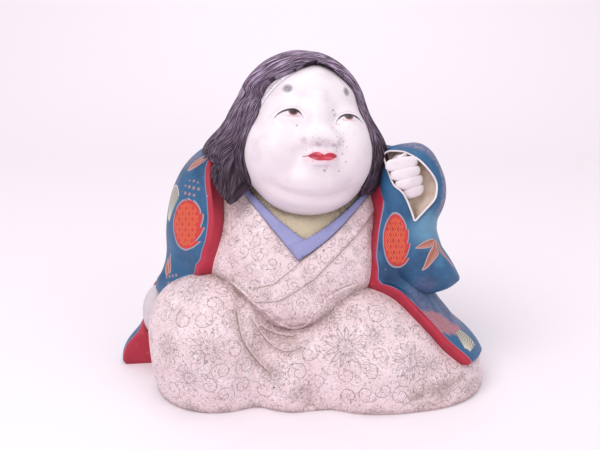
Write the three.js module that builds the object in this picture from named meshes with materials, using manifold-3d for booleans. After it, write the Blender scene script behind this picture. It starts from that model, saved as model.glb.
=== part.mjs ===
// Ceramic otafuku figure: a smiling woman who sits on the ground in a patterned kimono and an open
// coat, with one fist raised inside her sleeve. The real piece is cast hollow in one mould and
// painted, so it is one solid here, standing on its flat underside.
//
// Millimetres. +Z is up, the viewer stands on the -Y side, and +X is at the viewer's right, which is
// the woman's own left. "Right" and "left" in names are her own.
//
// Every form is a grid surface. The full forms, such as the lap, the trunk and the head, are lumps
// (ellipsoids) that melt into each other, and the grid lies where rays from one inner point leave
// them. The long forms, such as a finger or a collar, are a section carried along a path.

import * as THREE from "three";
import { ParametricGeometry } from "three/addons/geometries/ParametricGeometry.js";
import { mergeVertices } from "three/addons/utils/BufferGeometryUtils.js";
import Module from "manifold-3d";

const wasm = await Module();
wasm.setup();

const { clamp, degToRad, lerp } = THREE.MathUtils;
const point = (x, y, z) => new THREE.Vector3(x, y, z);
const lump = (x, y, z, rx, ry, rz) => ({ centre: point(x, y, z), half: point(rx, ry, rz) });

// ---- Body ----

const LAP = [
  lump(-55, -32, 37, 44, 52, 37), // the raised right knee
  lump(50, -24, 22, 62, 59, 40), // the left leg, laid to the side
  lump(0, -26, 16, 42, 51, 32), // the cloth between them
  lump(-4, 22, 30, 96, 54, 40), // the seat
  lump(64, -14, 2, 54, 63, 10), // the hem, spread flat at her left
];
const LAP_BLEND = 9;

const TRUNK = [
  lump(-5, -20, 82, 60, 43, 36), // belly
  lump(-7, -45, 64, 30, 22, 20), // where the belly hangs over the lap
  lump(-1, -12, 106, 54, 36, 29), // chest
  lump(0, 0, 120, 60, 30, 24), // shoulders
];
const TRUNK_BLEND = 14;

const NECK = lump(4, -14, 110, 31, 32, 27);

// Under its centre a lump of the seated body runs on nearly straight down to the ground.
const TUCK = 0.45;

// ---- Coat ----

// What the coat hangs over, besides the body.
const COAT_FILL = [
  lump(-45, 0, 115, 28.5, 32, 33), // right shoulder
  lump(-60, 4, 88, 23, 34, 40), // right upper arm
  lump(46, 4, 108, 32, 30, 34), // left shoulder
  lump(62, -10, 112, 17, 24, 28), // left upper arm
  lump(-2, 28, 84, 68, 36, 58), // back
  lump(-4, 32, 34, 94, 42, 40), // seat at the back
  lump(54, -6, 28, 38, 44, 34), // over the left thigh
  lump(-90, 6, 2, 27, 24, 19), // the end that trails at her right
];
const COAT_BLEND = 16;
const COAT_THICK = 6;

// The coat is open in front between two edges: rows of [height angle, bearing] from COAT_MIDDLE. Its
// hem rises off the ground towards the left edge: rows of [share of the way round, height angle].
const COAT_MIDDLE = point(0, 10, 0);
const COAT_TOP = 76;
const COAT_HEM = [[0, 0], [0.66, 0], [0.82, 5], [0.94, 9.5], [1, 11]];
const COAT_EDGE_RIGHT = [
  [0, -83], [12, -82], [22, -77], [36, -65], [42, -54], [45, -48], [50, -44], [56, -44], [60, -48], [66, -57], [76, -60],
];
const COAT_EDGE_LEFT = [
  [0, 47], [11, 45.5], [13, 42.5], [18, 41], [31, 41], [38, 43.5], [42, 42], [45, 36], [50, 35.5], [54, 38.6], [59, 42.5], [76, 46],
];

// ---- Head ----

// In the head's own frame: x to the side, -y where she looks, z up along the face.
const HEAD = [
  lump(-3, 4, 9, 36, 38, 41), // skull
  lump(-17, -12, -14, 25, 28, 26), // cheeks
  lump(17, -12, -14, 25, 28, 26),
  lump(0, -21, -27, 18, 20, 13), // chin
  lump(0, -13, -37, 31, 29, 16), // double chin
  lump(0, -34, 4, 6, 9, 14), // bridge of the nose
  lump(0, -40, -7, 7, 7, 6), // tip of the nose
  lump(-7, -37, -9, 5, 6, 4.5), // wings of the nose
  lump(7, -37, -9, 5, 6, 4.5),
  lump(0, -37, -20, 9, 7, 4.5), // lips
];
const HEAD_BLEND = 7;
const HEAD_AT = point(5, -14, 158);
const HEAD_TURN = new THREE.Euler(degToRad(-22), degToRad(4), degToRad(9), "ZXY"); // nod, tilt, turn

// ---- Hair ----

const HAIR = [
  lump(-1, -1, 168, 41.5, 44, 42.5), // crown
  lump(-30, -8, 151, 22.5, 28, 28), // fall at her right
  lump(-46, -14, 147, 17, 22, 14), // where it spreads over the shoulder
  lump(-40, -32, 138, 13, 17, 22), // lock in front of the shoulder
  lump(30, -8, 142, 24, 26, 30), // fall at her left
  lump(-2, 34, 130, 41, 35, 50), // fall at the back
];
const HAIR_BLEND = 10;
const HAIR_OVER_HEAD = 2.5;
const HAIR_MIDDLE = point(2, 0, 158);

// Strands from the parting to the tips, front to back. The first of each side is the hairline.
const STRANDS_RIGHT = [
  [[9, -26, 207], [-2, -33, 202.5], [-22, -33, 193], [-28, -37, 178], [-35, -37, 160], [-34, -40, 137], [-43, -46, 121]],
  [[8, -22, 209], [-14, -28, 203], [-34, -28, 188], [-43, -30, 170], [-50, -34, 150], [-53, -38, 138], [-52, -40, 130]],
  [[6, -6, 211], [-20, -12, 207], [-38, -12, 192], [-46, -12, 174], [-54, -16, 162], [-60, -20, 154], [-62, -20, 147]],
  [[4, 16, 209], [-18, 18, 204], [-40, 16, 186], [-48, 16, 168], [-54, 16, 152], [-56, 16, 140], [-55, 18, 126]],
  [[2, 36, 196], [1, 46, 184], [0, 54, 168], [0, 62, 150], [0, 66, 132], [0, 66, 114], [0, 62, 98]],
];
const STRANDS_LEFT = [
  [[9, -26, 207], [17, -26, 204], [32, -26, 190], [37, -26, 173], [43, -27, 156], [42, -31, 140], [35, -35, 128]],
  [[8, -22, 209], [22, -20, 202], [36, -14, 188], [42, -12, 170], [47, -14, 154], [49, -18, 138], [45, -26, 125]],
  [[6, -6, 211], [22, 0, 205], [38, 2, 190], [43, 4, 172], [50, 2, 156], [54, 0, 142], [53, 0, 126]],
  [[4, 16, 209], [20, 20, 201], [38, 20, 182], [46, 20, 162], [50, 22, 144], [50, 24, 128], [46, 26, 112]],
  STRANDS_RIGHT[4],
];

// ---- Raised sleeve and fist ----

const SLEEVE_AT = point(69, -25, 109);
const SLEEVE_FRONT = 20; // how far it swells to the viewer
const SLEEVE_BACK = 30;
const SLEEVE_OUTLINE = [
  [-21.8, 42], [-10.9, 47.4], [1.9, 48.7], [12.8, 42], [19.8, 30], [22.4, 13.3], [21.8, -4.7], [19.2, -16.7], [21.8, -23.3],
  [30.7, -36.7], [21.1, -46], [8.3, -50.7], [-4.5, -52], [-12.8, -48.7], [-20.5, -40], [-23, -23.3], [-22.4, 10],
];
const OPENING_OUTLINE = [
  [-16.6, 42], [-7.7, 43.4], [1.9, 39.4], [10.2, 31.4], [16, 20.7], [17.9, 11.3], [15.4, 2], [10.2, -6], [3.8, -13.3],
  [-0.6, -2], [-5.8, 8], [-11.5, 18], [-15.4, 28.7],
];
const OPENING_DEEP = 15;

const FINGERS = [
  [60.5, 147.5], [63, 139], [65, 131], [67, 123.2], // [x, z] of the middle of each, from the first finger down
];
const FINGER_LONG = 19;
const FINGER_THICK = 8.6;
const FINGER_FRONT = -39; // y of the line through the middle of the fingers
const PALM = lump(68, -30, 135, 11, 11, 18);

// ---- Bands and folds laid on the body: path of [x, z], width, how far they stand out ----

const BANDS = [
  { path: [[-32, 122], [-20, 111], [-10, 101], [-1, 93]], width: [6, 11], rise: 2 }, // under-collar, her right side
  { path: [[36, 121], [25, 111], [13, 101], [-1, 92]], width: [6, 10], rise: 2.8 }, // under-collar, her left side
  { path: [[42, 117], [31, 106], [20, 96], [9, 86], [-2, 79], [-16, 71], [-29, 68]], width: [8, 12], rise: 1.8 }, // collar
  { path: [[-38, 120], [-32, 110], [-24, 99], [-12, 86]], width: [6, 8], rise: 1.4 }, // collar, her right side
  { path: [[-62, 84], [-44, 76], [-28, 66], [-18, 54], [-7, 47], [3, 53], [18, 67], [42, 76]], width: [5, 5], rise: 2.5 }, // waist
  { path: [[-34, 62], [-26, 48], [-17, 40], [-6, 40], [4, 44]], width: [8, 6], rise: 2 }, // fold under the belly
  { path: [[46, 6], [70, 11], [90, 13], [102, 12]], width: [5, 4], rise: 1.5 }, // hem
];

const CUFF = lump(-96, 6, 36, 13, 17, 22);
const GLAZE_COLOUR = 0xdccfc8;

// ---- Lumps ----

// How far a point lies outside a lump, roughly in millimetres, and below zero inside.
function gapTo(place, { centre, half }, tuck = 1) {
  const q = place.clone().sub(centre);
  if (q.z < 0) q.z *= tuck;
  const scaled = q.divide(half);
  const steep = scaled.clone().divide(half).length();
  const size = scaled.length();
  return (size * (size - 1)) / Math.max(steep, 1e-6);
}

// The smaller of two gaps, melted together where they differ by less than `blend` millimetres.
function melt(a, b, blend) {
  const near = Math.max(blend - Math.abs(a - b), 0) / blend;
  return Math.min(a, b) - (near * near * blend) / 4;
}

const gapToAll = (place, lumps, blend, tuck) =>
  lumps.map((one) => gapTo(place, one, tuck)).reduce((a, b) => melt(a, b, blend));

const lapGap = (p) => gapToAll(p, LAP, LAP_BLEND, TUCK);
const trunkGap = (p) => gapToAll(p, TRUNK, TRUNK_BLEND);
const bodyGap = (p) => Math.min(lapGap(p), trunkGap(p));
const coatGap = (p) => melt(bodyGap(p), gapToAll(p, COAT_FILL, COAT_BLEND, TUCK), COAT_BLEND) - COAT_THICK;
const headGap = (p) => gapToAll(p, HEAD, HEAD_BLEND);
const backToHead = new THREE.Matrix4().makeRotationFromEuler(HEAD_TURN).setPosition(HEAD_AT).invert();
const hairGap = (p) =>
  melt(gapToAll(p, HAIR, HAIR_BLEND), headGap(p.clone().applyMatrix4(backToHead)) - HAIR_OVER_HEAD, 4);

// Where a ray leaves a form for the last time, as a distance from where it starts.
const FAR = 190;
const STRIDE = 4;
function reach(from, way, gap) {
  const at = (r) => gap(from.clone().addScaledVector(way, r));
  let inside = FAR;
  while (inside > 0 && at(inside) > 0) inside -= STRIDE;
  let outside = inside + STRIDE;
  for (let halving = 0; halving < 12; halving++) {
    const middle = (inside + outside) / 2;
    if (at(middle) > 0) outside = middle;
    else inside = middle;
  }
  return Math.max(inside, 1);
}

// The way out of a form at a point on it.
function outward(place, gap) {
  const slope = [point(1, 0, 0), point(0, 1, 0), point(0, 0, 1)].map(
    (step) => gap(place.clone().addScaledVector(step, 0.5)) - gap(place.clone().addScaledVector(step, -0.5)),
  );
  return point(...slope).normalize();
}

// A way to look, from its bearing (0 to the viewer, 90 to the viewer's right) and its height angle.
function heading(bearing, height) {
  const b = degToRad(bearing);
  const h = degToRad(height);
  return point(Math.sin(b) * Math.cos(h), -Math.cos(b) * Math.cos(h), Math.sin(h));
}

// A value read off a short table of [key, value] rows, with straight stretches between them.
function along(table, key) {
  const next = table.findIndex(([k]) => k >= key);
  if (next <= 0) return next === 0 ? table[0][1] : table[table.length - 1][1];
  const [k0, v0] = table[next - 1];
  const [k1, v1] = table[next];
  return lerp(v0, v1, (key - k0) / (k1 - k0));
}

// ---- Grid surfaces made solid ----

// A closed solid from a grid surface whose first and last columns meet, and whose first and last
// rows each close on themselves. Equal corners become one, and triangles without area are left out.
function solidOf(place, columns, rows) {
  const grid = new ParametricGeometry(
    (u, v, target) => {
      place(u, v, target);
      target.set(...target.toArray().map((x) => Math.round(x * 1000) / 1000));
    },
    columns,
    rows,
  );
  grid.deleteAttribute("normal");
  grid.deleteAttribute("uv");
  const merged = mergeVertices(grid, 1e-4);
  const corner = merged.index.array;
  const kept = [];
  for (let i = 0; i < corner.length; i += 3) {
    const [a, b, c] = corner.slice(i, i + 3);
    if (a !== b && b !== c && c !== a) kept.push(a, b, c);
  }
  const make = (triVerts) =>
    new wasm.Manifold(
      new wasm.Mesh({
        numProp: 3,
        vertProperties: merged.attributes.position.array,
        triVerts: new Uint32Array(triVerts),
      }),
    );
  const made = make(kept);
  return made.volume() > 0 ? made : make(kept.reverse());
}

// A full form: rays from its middle to all sides.
function fullForm(middle, gap, columns, rows) {
  return solidOf(
    (u, v, target) => {
      const way = heading(v === 0 || v === 1 ? 0 : 360 * (u % 1), 90 - 180 * v);
      target.copy(middle).addScaledVector(way, reach(middle, way, gap));
    },
    columns,
    rows,
  );
}

// A form that stands on the ground: rays to all sides but down, closed by a flat underside.
function standingForm(gap, columns, domeRows) {
  const ground = point(0, 0, 0);
  return solidOf(
    (u, v, target) => {
      const row = v * (domeRows + 1);
      if (row > domeRows + 0.5) return target.copy(ground);
      const way = heading(360 * (u % 1), row < 0.01 ? 90 : 90 * (1 - row / domeRows));
      target.copy(way.multiplyScalar(reach(ground, way, gap)));
    },
    columns,
    domeRows + 1,
  );
}

// An open form: rays to some sides only, with cut faces that run back to its middle. `wayAt` gives
// the way to look from the share across and the share down.
function openForm(middle, gap, wayAt, columns, rows) {
  return solidOf(
    (u, v, target) => {
      const column = u * columns;
      const row = v * rows;
      if (column < 0.5 || column > columns - 0.5 || row < 0.5 || row > rows - 0.5) return target.copy(middle);
      const way = wayAt(clamp((column - 1) / (columns - 2), 0, 1), clamp((row - 1) / (rows - 2), 0, 1));
      target.copy(middle).addScaledVector(way, reach(middle, way, gap));
    },
    columns,
    rows,
  );
}

// A long form: a round or flat section carried along a path. `frameAt` gives, from the share of the
// way along, the point on the path, the way to the side, the way out, and the half sizes in both.
function longForm(frameAt, columns, rows) {
  return solidOf(
    (u, v, target) => {
      const { at, side, out, half } = frameAt(v);
      if (v === 0 || v === 1) return target.copy(at);
      const angle = 2 * Math.PI * (u % 1);
      target
        .copy(at)
        .addScaledVector(side, half[0] * Math.cos(angle))
        .addScaledVector(out, half[1] * Math.sin(angle));
    },
    columns,
    rows,
  );
}

// A pillow: a closed outline [x, z] that swells to the front and to the back.
function pillow(middle, outline, front, back, columns, rows) {
  const rim = new THREE.CatmullRomCurve3(outline.map(([x, z]) => point(x, 0, z)), true);
  return solidOf(
    (u, v, target) => {
      const angle = Math.PI * v;
      const wide = v === 0 || v === 1 ? 0 : Math.sin(angle) ** 0.6;
      const deep = Math.cos(angle);
      target.copy(rim.getPoint(u % 1)).multiplyScalar(wide);
      target.y = -deep * (deep > 0 ? front : back);
      target.add(middle);
    },
    columns,
    rows,
  );
}

// ---- Parts of the figure ----

const lap = () => standingForm(lapGap, 54, 16);
const trunk = () => fullForm(point(0, -6, 92), trunkGap, 36, 18);
const neck = () => fullForm(NECK.centre, (p) => gapTo(p, NECK), 20, 10);
const cuff = () => fullForm(CUFF.centre, (p) => gapTo(p, CUFF), 14, 10);

const coat = () =>
  openForm(
    COAT_MIDDLE,
    coatGap,
    (across, down) => {
      const height = lerp(COAT_TOP, along(COAT_HEM, across), down);
      return heading(lerp(along(COAT_EDGE_RIGHT, height), along(COAT_EDGE_LEFT, height) - 360, across), height);
    },
    42,
    18,
  );

const headForm = () =>
  fullForm(point(0, 0, 0), headGap, 36, 32).warp((corner) => {
    const moved = point(...corner).applyEuler(HEAD_TURN).add(HEAD_AT);
    [corner[0], corner[1], corner[2]] = moved.toArray();
  });

function hair(strands) {
  const curves = strands.map((one) => new THREE.CatmullRomCurve3(one.map(([x, y, z]) => point(x, y, z))));
  return openForm(
    HAIR_MIDDLE,
    hairGap,
    (across, down) => {
      const row = new THREE.CatmullRomCurve3(curves.map((curve) => curve.getPoint(down)));
      return row.getPoint(across).sub(HAIR_MIDDLE).normalize();
    },
    18,
    16,
  );
}

function sleeve() {
  const bag = pillow(SLEEVE_AT, SLEEVE_OUTLINE, SLEEVE_FRONT, SLEEVE_BACK, 34, 14);
  const mouth = SLEEVE_AT.clone().add(point(0, -SLEEVE_FRONT, 0));
  return bag.subtract(pillow(mouth, OPENING_OUTLINE, OPENING_DEEP, OPENING_DEEP, 26, 8));
}

const finger = ([x, z]) =>
  longForm(
    (share) => ({
      at: point(x + FINGER_LONG * (share - 0.5), FINGER_FRONT + 14 * (share - 0.3) ** 2, z),
      side: point(0, 1, 0),
      out: point(0, 0, 1),
      half: [0.5, 0.5].map((part) => part * FINGER_THICK * Math.min(1, 6 * Math.min(share, 1 - share)) ** 0.5),
    }),
    8,
    10,
  );
const palm = () => fullForm(PALM.centre, (p) => gapTo(p, PALM), 12, 8);

// A band on the front of the body, half sunk into it.
function band({ path, width, rise }) {
  const line = new THREE.CatmullRomCurve3(
    path.map(([x, z]) => {
      const start = point(x, 0, z);
      const ahead = point(0, -1, 0);
      return start.addScaledVector(ahead, reach(start, ahead, bodyGap));
    }),
  );
  return longForm(
    (share) => {
      const at = line.getPoint(share);
      const ahead = line.getTangent(share);
      const out = outward(at, bodyGap);
      const side = out.clone().cross(ahead).normalize();
      const round = Math.min(1, 12 * Math.min(share, 1 - share)) ** 0.5;
      return { at, side, out, half: [(lerp(...width, share) / 2) * round, rise * round] };
    },
    8,
    14,
  );
}

const forms = [
  lap(),
  trunk(),
  neck(),
  coat(),
  cuff(),
  headForm(),
  hair(STRANDS_RIGHT),
  hair(STRANDS_LEFT),
  sleeve(),
  palm(),
  ...FINGERS.map(finger),
  ...BANDS.map(band),
];
// The outer skin alone, so that no pocket stays closed in between the forms.
const figure = forms
  .reduce((a, b) => a.add(b))
  .decompose()
  .reduce((a, b) => (a.volume() > b.volume() ? a : b));

// The origin is under the middle of the figure, at the underside.
const { min, max } = figure.boundingBox();
const standing = figure.translate(-(min[0] + max[0]) / 2, -(min[1] + max[1]) / 2, -min[2]);

const { vertProperties, triVerts } = standing.getMesh();
const geometry = new THREE.BufferGeometry()
  .setAttribute("position", new THREE.BufferAttribute(vertProperties, 3))
  .setIndex(new THREE.BufferAttribute(triVerts, 1));
geometry.computeVertexNormals();

const mesh = new THREE.Mesh(
  geometry,
  new THREE.MeshStandardMaterial({ color: GLAZE_COLOUR, roughness: 0.5, metalness: 0 }),
);
mesh.name = "otafuku_figure";

const part = new THREE.Group();
part.add(mesh);
export default part;
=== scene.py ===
# %% [markdown]
# # A painted ceramic otafuku figure
#
# The real figure is slip-cast in one piece: a smiling woman sits on the ground in a patterned kimono
# and an open coat, and raises one fist inside her sleeve. Nothing on it can be taken off, so it is
# also one closed skin here. The frame holds it as one plain faceted solid. This file makes the fine
# skin that stands in for that solid, paints it, and sets up the floor, the light and the camera.

import bmesh
import bpy
import math
import numpy as np
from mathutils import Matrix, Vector


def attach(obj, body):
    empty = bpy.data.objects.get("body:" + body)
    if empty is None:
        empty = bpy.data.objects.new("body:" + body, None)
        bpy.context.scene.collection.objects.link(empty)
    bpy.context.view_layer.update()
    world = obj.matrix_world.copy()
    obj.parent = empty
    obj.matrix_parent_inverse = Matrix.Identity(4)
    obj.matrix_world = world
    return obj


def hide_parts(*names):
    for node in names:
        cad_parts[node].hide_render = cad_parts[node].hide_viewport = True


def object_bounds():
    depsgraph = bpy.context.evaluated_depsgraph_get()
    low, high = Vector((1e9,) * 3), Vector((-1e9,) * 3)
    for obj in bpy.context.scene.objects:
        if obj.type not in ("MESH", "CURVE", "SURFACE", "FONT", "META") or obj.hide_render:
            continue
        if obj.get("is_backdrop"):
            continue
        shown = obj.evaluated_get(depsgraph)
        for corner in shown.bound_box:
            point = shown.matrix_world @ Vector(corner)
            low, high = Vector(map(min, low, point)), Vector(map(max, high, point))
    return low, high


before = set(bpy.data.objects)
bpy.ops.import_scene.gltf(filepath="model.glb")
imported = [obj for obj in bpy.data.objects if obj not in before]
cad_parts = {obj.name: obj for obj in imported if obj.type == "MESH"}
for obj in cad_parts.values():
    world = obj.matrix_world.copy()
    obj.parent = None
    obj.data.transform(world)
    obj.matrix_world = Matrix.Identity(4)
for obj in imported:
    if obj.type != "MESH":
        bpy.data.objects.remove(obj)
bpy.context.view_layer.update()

# %% [markdown]
# ## Millimetres on the bench, metres in the frame
#
# A modeller thinks in millimetres, from a point on the bench under the figure. Blender's frame is in
# metres from the middle of the finished figure's underside. All shapes below are worked out in bench
# millimetres, and are shifted and scaled once, when they become a mesh. +X is at the viewer's right,
# the viewer stands on the -Y side, and "right" and "left" in names are the woman's own.

# %% Bench and frame
MM = 0.001
MIDDLE = np.array([-1.43, 0.62, 0.0])  # the middle of the underside, on the bench


def to_frame(points):
    """Bench millimetres to metres from the middle of the underside."""
    return (np.asarray(points, float) - MIDDLE) * MM


# %% [markdown]
# ## Lumps that melt together
#
# The full forms of the figure, such as a knee or a cheek, have no edges of their own: they are
# pressed out of soft clay. Metaballs or a sculpted mesh could give that. Lumps are used instead:
# ellipsoids with a distance to each, and a smooth minimum that melts near ones into each other.
# A grid is then laid where rays from one inner point leave the lumps for the last time, so each form
# is a plain function of two angles and the number of faces is free.


# %% Distance to lumps
def gap_to(points, lump, tuck=1.0):
    """How far points lie outside an ellipsoid (centre, half sizes), below zero inside: the scaled
    length k, times k - 1, over the steepness there. Under the centre, z is scaled by tuck, so that
    a tuck below 1 carries the form nearly straight down to the ground."""
    away = points - np.array(lump[:3], float)
    away[..., 2] *= np.where(away[..., 2] < 0, tuck, 1.0)
    half = np.array(lump[3:], float)
    scaled = away / half
    size = np.linalg.norm(scaled, axis=-1)
    return size * (size - 1) / np.maximum(np.linalg.norm(scaled / half, axis=-1), 1e-6)


def melt(a, b, blend):
    """The smaller of two distances, lowered smoothly where they differ by less than blend."""
    near = np.maximum(blend - np.abs(a - b), 0) / blend
    return np.minimum(a, b) - near * near * blend / 4


def gap_to_all(points, lumps, blend, tuck=1.0):
    """Distance to several lumps melted together."""
    gap = gap_to(points, lumps[0], tuck)
    for lump in lumps[1:]:
        gap = melt(gap, gap_to(points, lump, tuck), blend)
    return gap


FAR = 190.0
STRIDE = 4.0


def reach(start, way, gap):
    """How far along each ray the form is left for the last time: step in from far away until inside,
    then halve the last step twelve times. All rays go at once."""
    inside = np.full(way.shape[:-1], FAR)
    for _ in range(int(FAR / STRIDE)):
        inside = np.where((gap(start + way * inside[..., None]) > 0) & (inside > 0), inside - STRIDE, inside)
    outside = inside + STRIDE
    for _ in range(12):
        middle = (inside + outside) / 2
        out = gap(start + way * middle[..., None]) > 0
        outside = np.where(out, middle, outside)
        inside = np.where(out, inside, middle)
    return np.maximum(inside, 1.0)


def heading(bearing, height):
    """Unit ways to look: bearing 0 to the viewer and 90 to the viewer's right, height angle up."""
    b, h = np.radians(bearing), np.radians(height)
    return np.stack([np.sin(b) * np.cos(h), -np.cos(b) * np.cos(h), np.sin(h)], -1)


def unit(vectors):
    return vectors / np.linalg.norm(vectors, axis=-1, keepdims=True)


def outward(points, gap):
    """The way out of a form at points on it: the slope of the distance, from small steps each way."""
    slope = [gap(points + step) - gap(points - step) for step in np.eye(3) * 0.5]
    return unit(np.stack(slope, -1))


# %% The lumps of the figure
LAP = [
    (-54, -32, 38.5, 44, 52, 39.5),  # the raised right knee
    (44, -24, 22, 52, 59, 39.5),  # the left leg, laid to the side
    (80, -24, 14, 36, 46, 21),  # its foot under the cloth
    (30, -27, 42, 38, 42, 31),  # the cloth pulled up at the waist
    (-4, -28, 20, 41, 52, 33),  # the cloth between them
    (-8, 22, 30, 91, 54, 40),  # the seat
    (64, -14, 2, 54, 63, 10),  # the hem, spread flat at her left
]
TRUNK = [
    (-5, -20, 82, 60, 43, 36),  # belly
    (-7, -45, 64, 30, 22, 20),  # where the belly hangs over the lap
    (-1, -12, 106, 54, 36, 29),  # chest
    (0, 0, 120, 60, 30, 24),  # shoulders
]
NECK = (4, -14, 110, 31, 32, 27)
COAT_FILL = [
    (-45, 0, 115, 28.5, 32, 33),  # right shoulder
    (-60, 4, 88, 23, 34, 40),  # right upper arm
    (46, 4, 108, 32, 30, 34),  # left shoulder
    (62, -10, 112, 17, 24, 28),  # left upper arm
    (-2, 28, 84, 68, 36, 58),  # back
    (-9, 32, 34, 86, 42, 40),  # seat at the back
    (45, -4, 23, 33, 42, 29),  # over the left thigh
    (-90, 6, 2, 27, 24, 19),  # the end that trails at her right
]
HEAD = [  # in the head's own frame
    (-3, 4, 9, 36, 38, 41),  # skull
    (-21, -12, -14, 23.5, 28, 26),  # cheeks
    (17.5, -10, -11.5, 20.5, 28, 28.5),
    (-1, -21, -29, 18, 20, 13),  # chin
    (-3, -12, -34.6, 26.6, 29, 16),  # double chin
    (0, -29.5, 4, 7.5, 8.5, 14),  # bridge of the nose
    (-0.5, -37, -7.5, 8, 6.5, 5.5),  # tip of the nose
    (-8.2, -35.5, -9, 6, 5.5, 4.5),  # wings of the nose
    (7.6, -35.5, -9, 6, 5.5, 4.5),
    (0, -37, -20, 9, 7, 4.5),  # lips
]
HAIR = [
    (-1, -1, 168, 41.5, 44, 42.5),  # crown
    (-30, -8, 151, 22.5, 28, 28),  # fall at her right
    (-46, -14, 147, 17, 22, 14),  # where it spreads over the shoulder
    (-43, -33, 136, 14.5, 16, 22),  # lock in front of the shoulder
    (30, -8, 142, 24, 26, 30),  # fall at her left
    (42, -24, 142, 10, 14, 19),  # lock in front of her left shoulder
    (-2, 34, 130, 41, 35, 50),  # fall at the back
]
TUCK = 0.45
LAP_BLEND, TRUNK_BLEND, COAT_BLEND, HEAD_BLEND, HAIR_BLEND = 9, 14, 16, 7, 10
COAT_THICK = 6
HAIR_OVER_HEAD = 2.5
HEAD_AT = np.array([5, -14, 158])
NOD, TILT, TURN = np.radians([-22, 4, 9])


def turned(points, back=False):
    """The head's own frame (x aside, -y where she looks, z up the face) to the bench, or back."""
    nod = np.array([[1, 0, 0], [0, np.cos(NOD), -np.sin(NOD)], [0, np.sin(NOD), np.cos(NOD)]])
    tilt = np.array([[np.cos(TILT), 0, np.sin(TILT)], [0, 1, 0], [-np.sin(TILT), 0, np.cos(TILT)]])
    turn = np.array([[np.cos(TURN), -np.sin(TURN), 0], [np.sin(TURN), np.cos(TURN), 0], [0, 0, 1]])
    pose = turn @ nod @ tilt
    return (points - HEAD_AT) @ pose if back else points @ pose.T + HEAD_AT


def lap_gap(points):
    return gap_to_all(points, LAP, LAP_BLEND, TUCK)


def trunk_gap(points):
    return gap_to_all(points, TRUNK, TRUNK_BLEND)


def body_gap(points):
    return np.minimum(lap_gap(points), trunk_gap(points))


def coat_gap(points):
    return melt(body_gap(points), gap_to_all(points, COAT_FILL, COAT_BLEND, TUCK), COAT_BLEND) - COAT_THICK


def head_gap(points):
    return gap_to_all(points, HEAD, HEAD_BLEND)


def hair_gap(points):
    over_head = head_gap(turned(points, back=True)) - HAIR_OVER_HEAD
    return melt(gap_to_all(points, HAIR, HAIR_BLEND), over_head, 4)


# %% [markdown]
# ## From a grid of points to a skin
#
# Every form comes out as a grid: rows and columns of points. Each grid also carries a pair of numbers
# for every corner of every face, the UV map "Field", with distances along the surface, such as how
# far a point lies from the coat's edge, so that painted borders stay sharp however coarse the faces
# are. Some carry a second pair, "Lines". A UV map is used for this because the join further down keeps it exact, while numbers stored on
# points would be lost.


# %% Grid to mesh
def corners(grid):
    """Values on grid points (rows, columns, n) as values on face corners (rows-1, columns-1, 4, n)."""
    return np.stack([grid[:-1, :-1], grid[:-1, 1:], grid[1:, 1:], grid[1:, :-1]], 2)


def skin(name, points, materials, field=None, finish_of=None):
    """A closed mesh from a grid (rows, columns, 3) whose ends meet. finish_of gives each face's place
    in the list of materials. Points that fall together are merged, which closes seams and poles."""
    rows, columns = points.shape[:2]
    index = np.arange(rows * columns).reshape(rows, columns)[..., None]
    faces = corners(index).reshape(-1, 4)
    mesh = bpy.data.meshes.new(name)
    mesh.from_pydata(to_frame(points).reshape(-1, 3), [], faces)
    for material in materials:
        mesh.materials.append(material)
    if finish_of is not None:
        mesh.polygons.foreach_set("material_index", np.asarray(finish_of, np.int32).ravel())
    for k, title in enumerate(("Field", "Lines")):
        layer = mesh.uv_layers.new(name=title)
        if field is not None and field.shape[-1] > 2 * k:
            layer.data.foreach_set("uv", np.ascontiguousarray(corners(field)[..., 2 * k : 2 * k + 2], np.float32).ravel())
    edit = bmesh.new()
    edit.from_mesh(mesh)
    bmesh.ops.remove_doubles(edit, verts=edit.verts, dist=2e-6)
    bmesh.ops.dissolve_degenerate(edit, dist=1e-7, edges=edit.edges)
    bmesh.ops.recalc_face_normals(edit, faces=edit.faces)
    if edit.calc_volume(signed=True) < 0:
        bmesh.ops.reverse_faces(edit, faces=edit.faces)
    open_edges = sum(not edge.is_manifold for edge in edit.edges)
    edit.to_mesh(mesh)
    edit.free()
    thing = bpy.data.objects.new(name, mesh)
    bpy.context.scene.collection.objects.link(thing)
    print(f"{name}: {len(mesh.polygons)} faces, {open_edges} open edges")
    return thing


def shares(count):
    """Evenly spaced shares from 0 to 1."""
    return np.linspace(0, 1, count)


def spline(knots, count):
    """A smooth curve through the knots (n, k): Catmull-Rom, count points evenly in the parameter."""
    knots = np.asarray(knots, float)
    padded = np.vstack([2 * knots[0] - knots[1], knots, 2 * knots[-1] - knots[-2]])
    t = shares(count) * (len(knots) - 1)
    i = np.minimum(t.astype(int), len(knots) - 2)
    f = (t - i)[:, None]
    a, b, c, d = (padded[i + k] for k in range(4))
    return 0.5 * (2 * b + (c - a) * f + (2 * a - 5 * b + 4 * c - d) * f**2 + (3 * b - a - 3 * c + d) * f**3)


def closed_spline(knots, count):
    """The same through knots that form a ring; the last point is the first."""
    knots = np.asarray(knots, float)
    t = shares(count) * len(knots)
    i = t.astype(int)
    f = (t - i)[:, None]
    a, b, c, d = (knots[(i + k - 1) % len(knots)] for k in range(4))
    return 0.5 * (2 * b + (c - a) * f + (2 * a - 5 * b + 4 * c - d) * f**2 + (3 * b - a - 3 * c + d) * f**3)


def bump_at(distance, width):
    """A soft bell: 1 at distance 0, falling to nothing past about twice the width."""
    return np.exp(-((distance / width) ** 2))


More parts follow.
